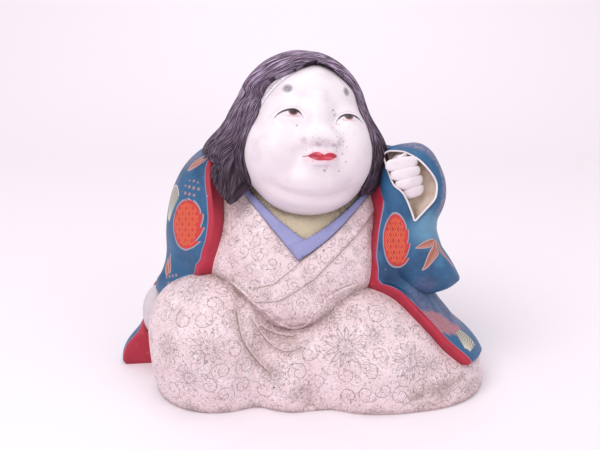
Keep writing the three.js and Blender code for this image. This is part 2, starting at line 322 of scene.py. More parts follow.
def path_distance(points, path):
    """Distance of points to a path, both of n coordinates, and the share along it of the nearest
    place: the smallest over the path's straight pieces."""
    path = np.asarray(path, float)
    best = np.full(points.shape[:-1], 1e9)
    share = np.zeros(points.shape[:-1])
    for k, (a, b) in enumerate(zip(path[:-1], path[1:])):
        along = np.clip(((points - a) @ (b - a)) / ((b - a) @ (b - a)), 0, 1)
        far = np.linalg.norm(points - a - along[..., None] * (b - a), axis=-1)
        share = np.where(far < best, (k + along) / (len(path) - 1), share)
        best = np.minimum(best, far)
    return best, share


# %% [markdown]
# ## Materials, named first
#
# A form hands each of its faces to a finish when it is made, so the finishes need to exist by name
# before any form does. Their nodes are filled in further down, once the skin is whole.


# %% Names of the finishes
FINISHES = (
    "kimono_plain", "kimono_scroll", "kimono_flower", "kimono_sprig",
    "coat_plain", "coat_cone", "coat_leaves", "coat_leaf", "coat_spray", "coat_fan", "coat_pine",
    "collar_blue", "neck_clay", "face_white", "hair_dark", "hand_white", "cuff_grey",
    "sleeve_inside", "sleeve_rim", "bare_foot",
)  # fmt: skip
finish = {name: bpy.data.materials.new(name) for name in FINISHES}

# %% [markdown]
# ## The lap
#
# The lap is a dome of cloth over the raised right knee and the left leg, which is laid to the side.
# Its rays start at the middle of the ground. Creases are pressed in along paths drawn on the front
# view: a groove is a soft bell of the distance to the path. The foot of the dome is rolled in a
# little, as the edge of a casting is, and a flat bottom closes it.


# %% Lap
def side_distance(points, path):
    """Distance to a path in x and z, with a sign: above zero to the viewer's right of a path that is
    drawn downwards, and above a path drawn to the right. Also the share along the path."""
    best = np.full(points.shape[:-1], 1e9)
    signed, share = best.copy(), np.zeros(points.shape[:-1])
    for k, (a, b) in enumerate(zip(path[:-1], path[1:])):
        run, away = b - a, points - a
        along = np.clip((away @ run) / (run @ run), 0, 1)
        far = np.linalg.norm(away - along[..., None] * run, axis=-1)
        side = np.sign(run[0] * away[..., 1] - run[1] * away[..., 0])
        near = far < best
        signed, share = np.where(near, side * far, signed), np.where(near, (k + along) / (len(path) - 1), share)
        best = np.minimum(best, far)
    return signed, share


def ramp(value, low, high):
    """0 below low, 1 above high, and a smooth S between them."""
    t = np.clip((value - low) / (high - low), 0, 1)
    return t * t * (3 - 2 * t)


def terraced(points, terraces):
    """Cloth that lies over other cloth: past each path (x and z) the surface steps up or down by the
    height, which dies away with the distance. A fine pressed line marks the step itself."""
    rise = np.zeros(points.shape[:-1])
    for path, height, fade in terraces:
        far, share = side_distance(points[..., [0, 2]], spline(path, 40))
        ends = ramp(np.minimum(share, 1 - share), 0, 0.12)
        step = height * ramp(far, -0.9, 0.9) * np.exp(-np.maximum(far, 0) / fade)
        rise += (step - 0.5 * bump_at(far, 1.1)) * ends
    return rise * np.clip(-points[..., 1] / 10, 0, 1)


def pressed(points, folds):
    """How much folds raise or sink the points: for each (path in x and z, width, height) a soft bell
    across the path that fades out at its two ends, on the side that faces the viewer."""
    rise = np.zeros(points.shape[:-1])
    for path, width, height in folds:
        far, share = path_distance(points[..., [0, 2]], spline(path, 30))
        rise += height * bump_at(far, width) * ramp(np.minimum(share, 1 - share), -0.02, 0.2)
    return rise * np.clip(-points[..., 1] / 10, 0, 1)


LAP_TERRACES = [
    # inside of the raised knee, from the waist down
    ([(-42, 76), (-40.7, 67), (-38.3, 56.7), (-36.4, 49.3), (-31.9, 40), (-25.5, 29.5), (-17, 23), (-10, 21)], -2.6, 16),
    # the roll of cloth under the belly
    ([(-37, 69), (-33, 62), (-28.4, 53.8), (-24, 46.6), (-19, 40.5), (-12.3, 37.8), (-4.7, 38.7), (3, 41.5), (11, 47)], 2.7, 9),
]  # fmt: skip
LAP_FOLDS = [
    ([(-31, 60), (-24, 51), (-16, 45), (-6, 44), (3, 48)], 2.6, -1.8),  # a second fold within that roll
    ([(14, 62), (26, 54), (42, 48), (60, 44)], 7.0, -1.2),  # pulls from the waist over the left thigh
    ([(6, 48), (16, 36), (30, 28), (48, 22)], 7.0, -1.1),
    ([(0, 34), (8, 26), (20, 18), (34, 12)], 6.0, -0.8),
    ([(-2, 24), (2, 15), (4, 6), (5, 0)], 5.0, -2.0),  # hem between the legs
    ([(-62, 16), (-48, 9), (-34, 6), (-20, 6)], 6.0, -0.7),
    ([(60, 5.5), (69, 8.8), (85, 11.6), (98, 16.5), (107, 18)], 1.8, -1.0),  # hem at her left
    ([(58, 9.5), (69, 12.5), (85, 15.5), (98, 20.5)], 2.4, 0.8),
    ([(64, 2), (78, 4), (92, 7)], 1.6, -0.7),
    ([(98, 4), (106, 9), (110, 14)], 1.6, -0.8),
]
GROUND = np.zeros(3)
LAP_COLUMNS, LAP_ROWS = 330, 92
FOOT_ROLL = 2.2  # how high the rolled foot of the casting is


def crowded(count, crowd):
    """Bearings from -180 to 180 in even steps t, each less crowd times the sine of t."""
    t = np.linspace(-np.pi, np.pi, count)
    return np.degrees(t - crowd * np.sin(t))


def lap_points():
    """Rays over bearing (columns) and height angle (rows, from straight up to level), pressed in
    along the folds; the last row closes the underside at one point."""
    bearing, height = np.meshgrid(crowded(LAP_COLUMNS, 0.35), 90 * (1 - shares(LAP_ROWS)))
    way = heading(bearing, height)
    out = reach(GROUND, way, lap_gap)
    points = way * out[..., None]
    out = out + pressed(points, LAP_FOLDS) + terraced(points, LAP_TERRACES)
    low = np.clip(1 - out * way[..., 2] / FOOT_ROLL, 0, 1)
    out = out - 1.3 * low**2
    dome = way * out[..., None]
    dome[-1, :, 2] = 0
    foot = dome[-1] * 0.985
    return np.concatenate([dome, foot[None], np.zeros_like(foot)[None]])


lap_grid = lap_points()
print("lap grid", lap_grid.shape)

# %% [markdown]
# ## The trunk
#
# Belly, chest and shoulders are lumps again, with rays from the middle of the belly. The woman faces
# the viewer, so the columns crowd towards the front: the bearing is an even step less a share of its
# sine. The kimono's collar crosses the chest as low relief. It could be a strip of its own, but in
# the mould it is one skin with the chest, so it is a plateau pushed out of the grid: a step up within
# half a width of a path, with a thin pressed line at each rim.


# %% Trunk
def full_form(middle, gap, columns, rows, crowd=0.0, relief=None):
    """Rays from a middle to all sides, from straight up to straight down; relief raises each point."""
    bearing, height = np.meshgrid(crowded(columns, crowd), 90 - 180 * shares(rows))
    way = heading(bearing, height)
    out = reach(middle, way, gap)
    if relief is not None:
        out = out + relief(middle + way * out[..., None])
    return middle + way * out[..., None]


def plateau(points, path, width, height, rim=0.35):
    """A raised strip along a path in x and z: a smooth step within half the width there, and a shallow
    pressed line just outside it. The strip runs out gently at both ends."""
    far, share = path_distance(points[..., [0, 2]], spline(path, 40))
    half = np.interp(share, shares(len(width)), width) / 2
    ends = ramp(np.minimum(share, 1 - share), 0.0, 0.03)
    step = ramp(half - far, -0.6, 0.6) * height
    return (step - rim * bump_at(far - half - 0.9, 0.7)) * ends * (points[..., 1] < 0)


COLLARS = [
    (
        [(46, 122), (40.5, 117.2), (30.9, 108.5), (21.2, 100.7), (11.2, 93.1), (3.3, 86.7), (-5.9, 80.3), (-14.2, 74.4), (-22.5, 72), (-33, 70)],
        (9, 10, 10.8, 10.5, 12, 13.4, 11.6, 10.6, 9.6, 7), 1.3,
    ),
    ([(-39, 126), (-36, 120), (-28, 111.5), (-20.3, 101.5), (-11.4, 91.9), (-4, 84)], (7, 8, 11, 12, 12, 12), 0.8),
]  # fmt: skip
TRUNK_FOLDS = [
    ([(-29, 69), (-21.9, 65), (-13.3, 59.2), (-7.2, 57.9), (2.7, 60), (9, 66)], 1.8, 0.9),
    ([(46, 98), (34, 88), (20, 76), (8, 66)], 4.0, -0.9),
    ([(46, 84), (32, 75), (18, 66)], 3.2, -0.8),
    ([(-50, 96), (-42, 88), (-32, 82)], 3.5, -0.8),
    ([(-46, 84), (-32, 76), (-22, 68)], 3.0, -0.9),
    ([(40, 112), (44, 100), (45, 90)], 2.4, -0.6),
]


def trunk_relief(points):
    upper, under = (plateau(points, *collar) for collar in COLLARS)
    return np.maximum(upper, under) + pressed(points, TRUNK_FOLDS)


TRUNK_MIDDLE = np.array([0, -6, 92])
V_LINE = [(-36, 129), (-29.3, 125.7), (-19.6, 118.3), (-9.6, 111.2), (-1, 103), (13.8, 109.7), (24.6, 116.5), (41, 127)]
trunk_grid = full_form(TRUNK_MIDDLE, trunk_gap, 230, 150, 0.6, trunk_relief)
trunk_middles = corners(trunk_grid).mean(2)
bare = (trunk_middles[..., 1] < 0) & (trunk_middles[..., 2] > np.interp(trunk_middles[..., 0], *np.array(V_LINE).T, 999, 999))
neck_grid = full_form(np.array(NECK[:3]), lambda p: gap_to(p, NECK), 90, 50, 0.5)

# %% [markdown]
# ## The coat
#
# The coat is a thick sheet round the back and the shoulders, open in front. A thickened cloth
# sheet (Solidify) would do for a real coat. This one is cast with the body, so it is a sector of rays
# that starts at one front edge, goes round the back and ends at the other. At each edge the grid runs
# on down the thickness of the coat: those extra columns are the cut face, painted red like the border
# on the surface. The corner between the two is rounded as in a casting.


# %% Coat
COAT_MIDDLE = np.array([0, 10, 0])
COAT_TOP = 76
COAT_HEM = [(0, 0), (0.66, 0), (0.82, 5), (0.94, 9.5), (1, 11)]
COAT_EDGE_RIGHT = [  # height angle, bearing
    (0, -83), (12, -83), (15, -90), (17, -100), (25, -100), (27, -80), (30, -64), (36, -57), (42, -52), (44, -49), (46.5, -46), (51, -44.5),
    (56, -45.5), (60, -49), (66, -60), (76, -68),
]  # fmt: skip
COAT_EDGE_LEFT = [
    (0, 57), (11, 55.6), (15, 53.8), (19.5, 51.5), (24, 49.6), (28, 48.6), (33, 48.4), (37.5, 47), (41.5, 43.5), (44.3, 39),
    (46, 37), (52, 38), (57, 41.5), (62, 47.5), (76, 54),
]  # fmt: skip
CUT_DEPTHS = np.array([22, 15, 10, 6.5, 4, 2.2, 1.0])  # steps down the cut face, in millimetres
CORNER_ROUND = 1.5
COAT_FOLDS = [  # path in space, width, height
    ([(-52, -52, 90), (-66, -43, 87), (-80, -30, 86)], 2.6, -1.5),
    ([(-60, -46, 95), (-72, -36, 92), (-84, -18, 90)], 4.0, 1.2),
    ([(-84, -34, 73), (-76, -40, 78), (-66, -43, 83)], 2.6, -1.6),
    ([(-92, -26, 62), (-86, -34, 70), (-76, -42, 74)], 3.2, 1.2),
    ([(44, -53, 82), (50, -48, 76), (60, -43, 71), (74, -45, 64)], 2.4, -1.6),
    ([(46, -52, 74), (56, -46, 69), (68, -52, 62)], 2.6, 1.2),
    ([(74, -20, 66), (86, -30, 50), (96, -46, 34)], 5.0, -1.3),
    ([(90, -10, 52), (98, -30, 36), (102, -48, 26)], 4.5, 1.0),
    ([(-24, 60, 122), (-30, 70, 96), (-40, 78, 60), (-46, 80, 20)], 7.0, -2.2),
    ([(22, 60, 122), (28, 70, 96), (36, 78, 60), (44, 80, 20)], 7.0, -2.2),
    ([(-2, 66, 100), (-1, 74, 70), (2, 80, 40), (4, 82, 8)], 8.0, -1.6),
    ([(-62, 40, 110), (-72, 46, 80), (-82, 52, 44), (-86, 50, 14)], 7.0, -2.2),
    ([(60, 36, 110), (68, 44, 80), (78, 50, 44), (86, 46, 14)], 7.0, -2.2),
    ([(-70, 18, 112), (-84, 14, 84), (-96, 16, 50)], 5.0, -1.6),
    ([(64, 18, 96), (78, 10, 70), (94, 0, 42)], 5.0, -1.6),
]


def along(table, key):
    """A value read off rows of (key, value), with straight stretches between them, averaged over a
    short stretch so that the corners come out rounded."""
    keys, values = np.array(table, float).T
    return np.mean([np.interp(key + shift, keys, values) for shift in np.linspace(-1.2, 1.2, 7)], 0)


def coat_way(across, down):
    """Across the open sector, from her right edge round the back to her left edge, and down from the
    top to the hem, whose height angle rises towards the left edge."""
    keys, values = np.array(COAT_HEM, float).T
    height = COAT_TOP + (np.interp(across, keys, values) - COAT_TOP) * down
    right, left = along(COAT_EDGE_RIGHT, height), along(COAT_EDGE_LEFT, height) - 360
    return heading(right + (left - right) * across, height)


def open_form(middle, way, out, depths, rounding, rims=(0, -1)):
    """A sheet of rays (rows, columns) closed into a solid. The corners at its rims (the first or last
    column, and the hem) are rounded, then all four borders run down the cut faces by the given depths
    and meet at the middle. Returns the grid and, for each point, its distance from the nearer rim,
    below zero on a cut face."""
    points = middle + way * out[..., None]
    edge = np.min([path_distance(points, points[:, side])[0] for side in rims], 0)
    hem = path_distance(points, points[-1])[0]
    near = np.clip(1 - np.minimum(edge, hem) / rounding, 0, 1)
    out = out - rounding * (1 - np.sqrt(1 - near**2))
    extra = len(depths)
    rows, columns = (np.clip(np.arange(-extra, count + extra), 0, count - 1) for count in out.shape)
    down, side = (np.concatenate([depths, np.zeros(count), depths[::-1]]) for count in out.shape)
    depth = np.maximum(down[:, None], side)
    sheet = np.ix_(rows, columns)
    grid = middle + way[sheet] * np.maximum(out[sheet] - depth, 0.5)[..., None]
    grid = np.pad(grid - middle, ((1, 1), (1, 1), (0, 0))) + middle
    return grid, np.pad(np.where(depth > 0, -depth, edge[sheet]), 1, mode="edge")


def creased(points, folds):
    """How far folds along paths in space raise the points: a soft bell across each path."""
    rise = np.zeros(points.shape[:-1])
    for path, width, height in folds:
        far, share = path_distance(points, spline(path, 24))
        rise += height * bump_at(far, width) * ramp(np.minimum(share, 1 - share), -0.02, 0.2)
    return rise


t = shares(190)
across, down = np.meshgrid(t - 0.8 * np.sin(2 * np.pi * t) / (2 * np.pi), shares(84))
coat_ways = coat_way(across, down)
coat_out = reach(COAT_MIDDLE, coat_ways, coat_gap)
coat_height = np.degrees(np.arcsin(coat_ways[..., 2]))
under_knee = ramp(across, 0.06, 0.012) * ramp(coat_height, 24, 28) * ramp(coat_height, 45, 42)
at_her_left = ramp(across, 0.95, 0.995) * ramp(coat_height, 46, 51)
coat_out = coat_out - 9 * under_knee - 3 * at_her_left
coat_out = coat_out - 3.4 * ramp((COAT_MIDDLE + coat_ways * coat_out[..., None])[..., 0], 99, 119) * ramp(coat_height, 42, 30)
coat_out = coat_out + creased(COAT_MIDDLE + coat_ways * coat_out[..., None], COAT_FOLDS)
coat_grid, coat_edge = open_form(COAT_MIDDLE, coat_ways, coat_out, CUT_DEPTHS, CORNER_ROUND)
print("coat grid", coat_grid.shape, "edge from", coat_edge.min(), "to", coat_edge.max())

# %% [markdown]
# ## The head
#
# The head leans back and turns a little, so it is modelled looking straight ahead in its own frame
# and turned at the end. The broad forms are lumps. The small ones are relief pressed into or raised
# from the grid by bells of the distance to a point or a line on the face: eyelids over round eyes, the
# wings of the nose, the line of the mouth, dimples, and the soft folds of the two chins.


# %% Head
EYE_RIGHT, EYE_LEFT = (-17.0, 6.6), (18.6, 5.6)
LID_RIGHT = [(-26, 3.6), (-22.5, 7.2), (-17.5, 9.6), (-13.0, 8.9), (-10.2, 5.0)]
LID_LEFT = [(11.4, 4.4), (14.6, 7.6), (19.0, 9.0), (23.0, 7.2), (26.4, 1.4)]
MOUTH = [(-14.2, -17.6), (-9.8, -19.2), (-4.2, -20.0), (-0.4, -19.4), (3.4, -20.1), (9.2, -19.0), (14.4, -17.2)]
DOUBLE_CHIN = [(-36, -26.5), (-29, -34), (-18.8, -39.6), (-4, -42.2), (7.9, -40.7), (19.1, -34.8), (26.5, -26)]
FACE_LINES = [  # path on the face (x, z), width, height
    (LID_RIGHT, 0.9, -0.5), ([(x, z + 2.6) for x, z in LID_RIGHT], 1.8, 0.35),
    (LID_LEFT, 0.9, -0.5), ([(x, z + 2.6) for x, z in LID_LEFT], 1.8, 0.35),
    ([(-25, 2.0), (-20, 0.8), (-14, 1.2), (-11, 3.6)], 1.2, -0.25),
    ([(12, 3.2), (16, 0.8), (21, 0.2), (25, 0.6)], 1.2, -0.25),
    (MOUTH, 0.85, -0.75),
    ([(-8.5, -17.6), (-3.2, -16.9), (-0.4, -17.6), (2.6, -16.9), (8.0, -17.4)], 1.6, 0.5),
    ([(-6.5, -22.6), (-0.4, -23.6), (5.8, -22.6)], 2.0, 0.7),
    ([(-9, -27.2), (-0.4, -28.2), (8.6, -27.2)], 2.6, -0.9),
    ([(-12, -1.5), (-15, -8.0), (-12.6, -13.5)], 2.2, -0.6),
    ([(12, -1.5), (15, -8.0), (12.6, -13.5)], 2.2, -0.6),
    (DOUBLE_CHIN, 2.4, -1.15), ([(x, z - 5.5) for x, z in DOUBLE_CHIN], 3.4, 0.7), ([(0.9 * x, z + 5) for x, z in DOUBLE_CHIN], 3.4, 0.4),
]  # fmt: skip
FACE_DOTS = [  # place on the face, radius, height
    (EYE_RIGHT, 7.5, 0.9), (EYE_LEFT, 7.5, 0.9),
    ((-9.5, 6.5), 4.5, -1.0), ((10.5, 5.8), 4.5, -1.0),
    ((-4.2, -13.8), 1.7, -0.7), ((4.2, -13.8), 1.7, -0.7), ((0, -15.8), 1.8, -0.3),
    ((-15.8, -17.6), 3.0, -0.6), ((16.2, -17.0), 3.0, -0.6),
    ((-18, 22), 9.0, 0.7), ((18, 21), 9.0, 0.7),
]  # fmt: skip


def face_relief(points):
    face = points[..., [0, 2]]
    rise = np.zeros(face.shape[:-1])
    for path, width, height in FACE_LINES:
        far, share = path_distance(face, spline(path, 30))
        rise += height * bump_at(far, width) * ramp(np.minimum(share, 1 - share), 0, 0.3)
    for centre, width, height in FACE_DOTS:
        rise += height * bump_at(np.linalg.norm(face - centre, axis=-1), width)
    return rise * ramp(-points[..., 1], 2, 14)


head_grid = turned(full_form(np.zeros(3), head_gap, 240, 170, 0.62, face_relief))

# %% [markdown]
# ## The hair
#
# The hair is combed from a parting over the brow to both sides, and each side is a sector of rays of
# its own, which thins out towards the hairline. Its grid isn't laid by angles: its columns are strands. A few key strands are drawn in
# space from the parting to their tips, and smooth curves through them give the way each ray goes.
# Grooves that follow a strand are then just waves across the columns. Hair particles would be wrong
# here, since the real hair is clay combed with a stylus.


# %% Hair
HAIR_MIDDLE = np.array([2, 0, 158])
STRAND_BACK = [(2, 36, 196), (1, 46, 184), (0, 54, 168), (0, 62, 150), (0, 66, 132), (0, 66, 114), (0, 62, 98)]
STRANDS_RIGHT = [
    [(9.7, -15, 205.3), (-6.3, -24.9, 200.9), (-20.8, -23.5, 193), (-26.2, -28.9, 180.7), (-29.9, -36.2, 172.4), (-34, -43.9, 163), (-35.4, -46.8, 154), (-32.5, -48.9, 138.3), (-40, -46.2, 124.5)],
    [(9, -18, 208), (-9, -26, 205.5), (-29, -25, 196), (-37.5, -28.5, 182), (-42, -32, 170), (-46.5, -36.5, 158), (-51, -39, 147), (-53, -40, 138), (-51, -42, 131)],
    [(6, -6, 211), (-20, -12, 207), (-38, -12, 192), (-46, -12, 174), (-54, -16, 162), (-60, -20, 154), (-62, -20, 149)],
    [(4, 16, 209), (-18, 18, 204), (-40, 16, 186), (-48, 16, 168), (-54, 16, 152), (-56, 16, 140), (-55, 18, 126)],
    STRAND_BACK,
]
STRANDS_LEFT = [
    [(9.7, -15, 205.3), (17.7, -14.2, 202.4), (24.9, -16.4, 196.7), (33.4, -16, 186), (37.3, -28, 175), (41.5, -37, 164), (43, -38, 155), (42, -39, 144), (37, -39, 134), (37, -38, 129.5)],
    [(9, -18, 208), (22, -18, 202), (36, -14, 188), (42, -14, 170), (47, -18, 154), (49, -22, 138), (45, -28, 126)],
    [(6, -6, 211), (22, 0, 205), (38, 2, 190), (43, 4, 172), (50, 2, 156), (54, 0, 142), (53, 0, 126)],
    [(4, 16, 209), (20, 20, 201), (38, 20, 182), (46, 20, 162), (50, 22, 144), (50, 24, 128), (46, 26, 112)],
    STRAND_BACK,
]  # fmt: skip
TIPS_RIGHT = [  # share across, then the place of the tip: the front lock, a notch, the outer tier, the back
    (0, -40, -46.2, 124.5), (0.06, -44, -45.3, 122), (0.12, -48.9, -46.4, 128), (0.17, -52.1, -45.2, 132.6),
    (0.21, -55, -41.9, 136.3), (0.25, -49.8, -46, 143.3), (0.28, -47.3, -46.8, 145.1), (0.31, -49.4, -45.1, 146.7),
    (0.4, -57.3, -34.6, 148), (0.48, -60.5, -25.8, 149.4), (0.56, -63, -10, 148), (0.75, -55, 18, 126), (1, 0, 62, 98),
]  # fmt: skip
TIPS_LEFT = [
    (0, 36, -40, 130), (0.05, 38, -38, 124.5), (0.12, 46, -33, 122.5), (0.25, 52, -25, 121),
    (0.5, 53, 0, 121), (0.75, 46, 26, 112), (1, 0, 62, 98),
]  # fmt: skip
HAIR_COLUMNS, HAIR_ROWS = 236, 74
HAIR_CUT = np.array([16, 9, 5, 2.5, 1.0])


def strand_ways(strands, tips):
    """Ways from the hair's middle: down each key strand to the row's share, then across a smooth curve
    through those places to the column's share. Towards the ends the strands bend to the tips."""
    knots = np.stack([spline(one, HAIR_ROWS) for one in strands], 1)  # rows, strands, 3
    fine = np.stack([spline(row, 400) for row in knots])
    share = shares(HAIR_COLUMNS) ** 1.25
    places = fine[:, (share * 399).astype(int)]
    keys, *axes = np.array(tips).T
    end = np.stack([np.interp(share, keys, axis) for axis in axes], -1)
    places = places + ramp(shares(HAIR_ROWS), 0.5, 1.0)[:, None, None] * (end - places[-1])
    return unit(places - HAIR_MIDDLE), share


def comb(across, down):
    """The marks of the comb: waves across the strands in three widths, whose places wander slowly
    along them and whose depths come and go. Sharp valleys, rounded crests."""
    wander = 0.02 * np.sin(2.3 * np.pi * down + 9 * across) + 0.012 * np.sin(5.1 * np.pi * down + 23 * across)
    depth = np.zeros(across.shape)
    for count, deep, phase in ((17, 0.9, 0.3), (31, 0.8, 1.1), (53, 0.5, 2.0)):
        swell = 0.55 + 0.45 * np.sin(3.7 * down + phase * 5 + 11 * across)
        depth += deep * swell * (np.abs(np.sin(np.pi * (count * (across + wander) + phase))) ** 0.7 - 0.6)
    return depth


def hair_side(strands, tips, right):
    """One side of the hair: rays along its strands, combed, with the swept front mass of her right
    side standing over the fall below it by a small ledge."""
    way, share = strand_ways(strands, tips)
    out = reach(HAIR_MIDDLE, way, hair_gap)
    across, down = np.meshgrid(share, shares(HAIR_ROWS))
    points = HAIR_MIDDLE + way * out[..., None]
    over_face = out - reach(HAIR_MIDDLE, way, lambda p: head_gap(turned(p, back=True)))
    thick = 1.3 + 0.5 * path_distance(points, points[:, 0])[0]
    out = out - ramp(over_face, 14, 9) * np.maximum(over_face - thick, 0)
    out = out + comb(across, down) * ramp(down, 0, 0.08) * ramp(over_face, 0.5, 3)
    if right:
        above = points[..., 2] - 187.6 - 0.16 * (points[..., 0] + 37.8)
        front = ramp(-points[..., 1], -12, 4) * ramp(across, 0.62, 0.4)
        out = out + (3.2 * ramp(above, -0.7, 0.7) * ramp(above, 26, 2) - 1.8 * bump_at(above + 2.5, 3.0)) * front
    grid, _ = open_form(HAIR_MIDDLE, way, out, HAIR_CUT, 1.3, rims=(0,))
    pad = len(HAIR_CUT) + 1
    return grid, np.pad(np.stack([across * 110, down * 130], -1), ((pad, pad), (pad, pad), (0, 0)), mode="edge")


hair_right, hair_right_field = hair_side(STRANDS_RIGHT, TIPS_RIGHT, True)
hair_left, hair_left_field = hair_side(STRANDS_LEFT, TIPS_LEFT, False)
print("hair grids", hair_right.shape, hair_left.shape)

# %% [markdown]
# ## The raised sleeve and the fist
#
# The raised sleeve is a flat bag whose rim is drawn as a ring on the front view. A pillow carries that
# ring from a point in front through the rim to a point at the back: its width goes with a power of
# the sine, its depth with the cosine. A second pillow cuts the mouth of the sleeve out of it, and a thin
# roll goes round the mouth as the white hem of the lining.


# %% Sleeve
SLEEVE_AT = np.array([69, -25, 109])
SLEEVE_FRONT, SLEEVE_BACK = 20, 30
SLEEVE_OUTLINE = [
    (-15.7, 44), (-10.9, 45.8), (-6.5, 46.8), (0, 47.3), (5, 46.2), (9.5, 43.3), (12.9, 39.1), (16.1, 33), (18.6, 26.9),
    (19.8, 21.5), (20.1, 14.8), (19, 8.7), (16.5, 2.3), (15.4, -2.8), (15.8, -6.7), (17.9, -13.9), (21.3, -22.1), (26.6, -29.3),
    (30.6, -36.4), (31.7, -39.6), (30.3, -42), (24.8, -46.2), (18.2, -48.7), (12.8, -50.1), (6.1, -50.5), (-2, -48.4), (-8.3, -44.7),
    (-15.4, -40.4), (-19.6, -37.9), (-21.5, -27), (-21.5, 5), (-20.5, 34.9),
]  # fmt: skip
OPENING_OUTLINE = [  # from the middle of the mouth
    (-15.8, 13.2), (-14.4, 14.8), (-11, 15.9), (-5.1, 16), (-1.2, 15), (4.2, 12.4), (8.9, 8.3), (13.7, 2.3), (15.8, -2.5),
    (15.7, -7.9), (14.2, -11.9), (9.1, -17.4), (5.3, -21.6), (2.7, -24.3), (1.3, -20.9), (-0.8, -15.4), (-3.7, -9.2), (-6.4, -5.8),
    (-10.5, -2.5), (-13.2, 3.6), (-15.7, 11),
]  # fmt: skip
OPENING_IN, OPENING_OUT = 11, 22
MOUTH_AT = SLEEVE_AT + (-3, -SLEEVE_FRONT, 28)
SLEEVE_FOLDS = [
    ([(48, -50, 84), (54, -48, 74), (62, -44, 66)], 3.0, 1.0),
    ([(73, -46, 95), (76, -44, 84), (84, -40, 72)], 4.5, 1.0),
    ([(90, -32, 96), (86, -40, 88), (82, -44, 80)], 3.5, -1.0),
]


def pillow(middle, ring, front, back, rows, power=0.6, deeper=0.0):
    """A closed ring (x, z) carried from a point in front to a point at the back: its size is the sine
    of the angle to a power, its depth the cosine times the front or back swelling. deeper shifts each
    place of the ring back."""
    angle = np.pi * shares(rows)[:, None]
    wide = np.maximum(np.sin(angle), 0) ** power
    wide[[0, -1]] = 0
    deep = -np.cos(angle) * np.where(np.cos(angle) > 0, front, back)
    return middle + np.stack([ring[:, 0] * wide, deep + deeper * wide + 0 * ring[:, 0], ring[:, 1] * wide], -1)


def on_pillow(ring, middle, outline, front, power=0.6):
    """Where a ring drawn on the front view (x, z from the pillow's middle) lies on a pillow's front: the
    share of the way out to the outline in that direction equals the sine to the power, so the depth is
    the matching cosine."""
    edge = closed_spline(outline, 400)
    turn = np.arctan2(edge[:, 1], edge[:, 0])
    order = np.argsort(turn)
    far = np.interp(np.arctan2(ring[:, 1], ring[:, 0]), turn[order], np.hypot(*edge[order].T), period=2 * np.pi)
    share = np.clip(np.hypot(*ring.T) / far, 0, 0.985)
    deep = np.sqrt(1 - share ** (2 / power))
    return middle + np.stack([ring[:, 0], -front * deep, ring[:, 1]], -1)


sleeve_grid = pillow(SLEEVE_AT, closed_spline(SLEEVE_OUTLINE, 150), SLEEVE_FRONT, SLEEVE_BACK, 60)
opening = closed_spline(OPENING_OUTLINE, 120)
from_middle = (MOUTH_AT - SLEEVE_AT)[[0, 2]]
mouth_ring = on_pillow(opening + from_middle, SLEEVE_AT, SLEEVE_OUTLINE, SLEEVE_FRONT)
sleeve_away = sleeve_grid - SLEEVE_AT
from_mouth = path_distance(sleeve_away[..., [0, 2]], opening + from_middle)[0]
sleeve_rise = creased(sleeve_grid, SLEEVE_FOLDS) + (1.0 * bump_at(from_mouth - 6, 4) - 1.1 * bump_at(from_mouth - 1.5, 1.6)) * (
    sleeve_away[..., 1] < 0
)
sleeve_grid = sleeve_grid + sleeve_away * (sleeve_rise / np.maximum(np.linalg.norm(sleeve_away, axis=-1), 20))[..., None]
mouth_grid = pillow(MOUTH_AT, opening, OPENING_OUT, OPENING_IN, 40, 0.3, mouth_ring[:, 1] - MOUTH_AT[1])


# %% A section carried along a path
def carried(line, side, out, half, columns, power=1.0):
    """A section round a line of points: the point, plus the way to the side times the half width and a
    power of the cosine, plus the way out times the half height and that power of the sine. A power
    under 1 squares the section off. A line whose ends meet makes a ring, another closes in points."""
    angle = np.linspace(0, 2 * np.pi, columns)
    wave = [np.sign(f) * np.abs(f) ** power for f in (np.cos(angle), np.sin(angle))]
    grid = (
        line[:, None]
        + side[:, None] * (half[:, :1] * wave[0])[..., None]
        + out[:, None] * (half[:, 1:] * wave[1])[..., None]
    )
    if not np.allclose(line[0], line[-1]):
        grid = np.concatenate([np.repeat(line[:1, None], columns, 1), grid, np.repeat(line[-1:, None], columns, 1)])
    return grid


def tangents(line):
    ahead = np.gradient(line, axis=0)
    if np.allclose(line[0], line[-1]):
        ahead[[0, -1]] = line[1] - line[-2]
    return ahead / np.linalg.norm(ahead, axis=1, keepdims=True)


# %% The white hem round the mouth of the sleeve
mouth_ahead = tangents(mouth_ring)
mouth_side = unit(np.cross(mouth_ahead, [0, 1, 0]))
mouth_half = np.full((120, 2), (0.6, 0.7))
hem_grid = carried(mouth_ring, mouth_side, unit(np.cross(mouth_side, mouth_ahead)), mouth_half, 13)

# %% [markdown]
# The fist is four short rolls, one above the other, and the tip of the thumb over them. Their left ends
# lap over the hem of the sleeve, so the white edge is scalloped there.

# %% Fist
FINGERS = [  # middle (x, z), length, thickness, how far in front of the first finger
    (60.3, 147.0, 21, 8.3, 0), (62.7, 141.3, 19.4, 8.2, 0.3), (65, 135.4, 18, 8.1, 0.1), (67.6, 129.6, 14.5, 7.6, -0.6),
    (60.4, 150.6, 7.5, 4.2, -1.6),
]  # fmt: skip
FINGER_FRONT = -41.2
PALM = (62.5, -28.5, 139, 9.5, 9.8, 13)


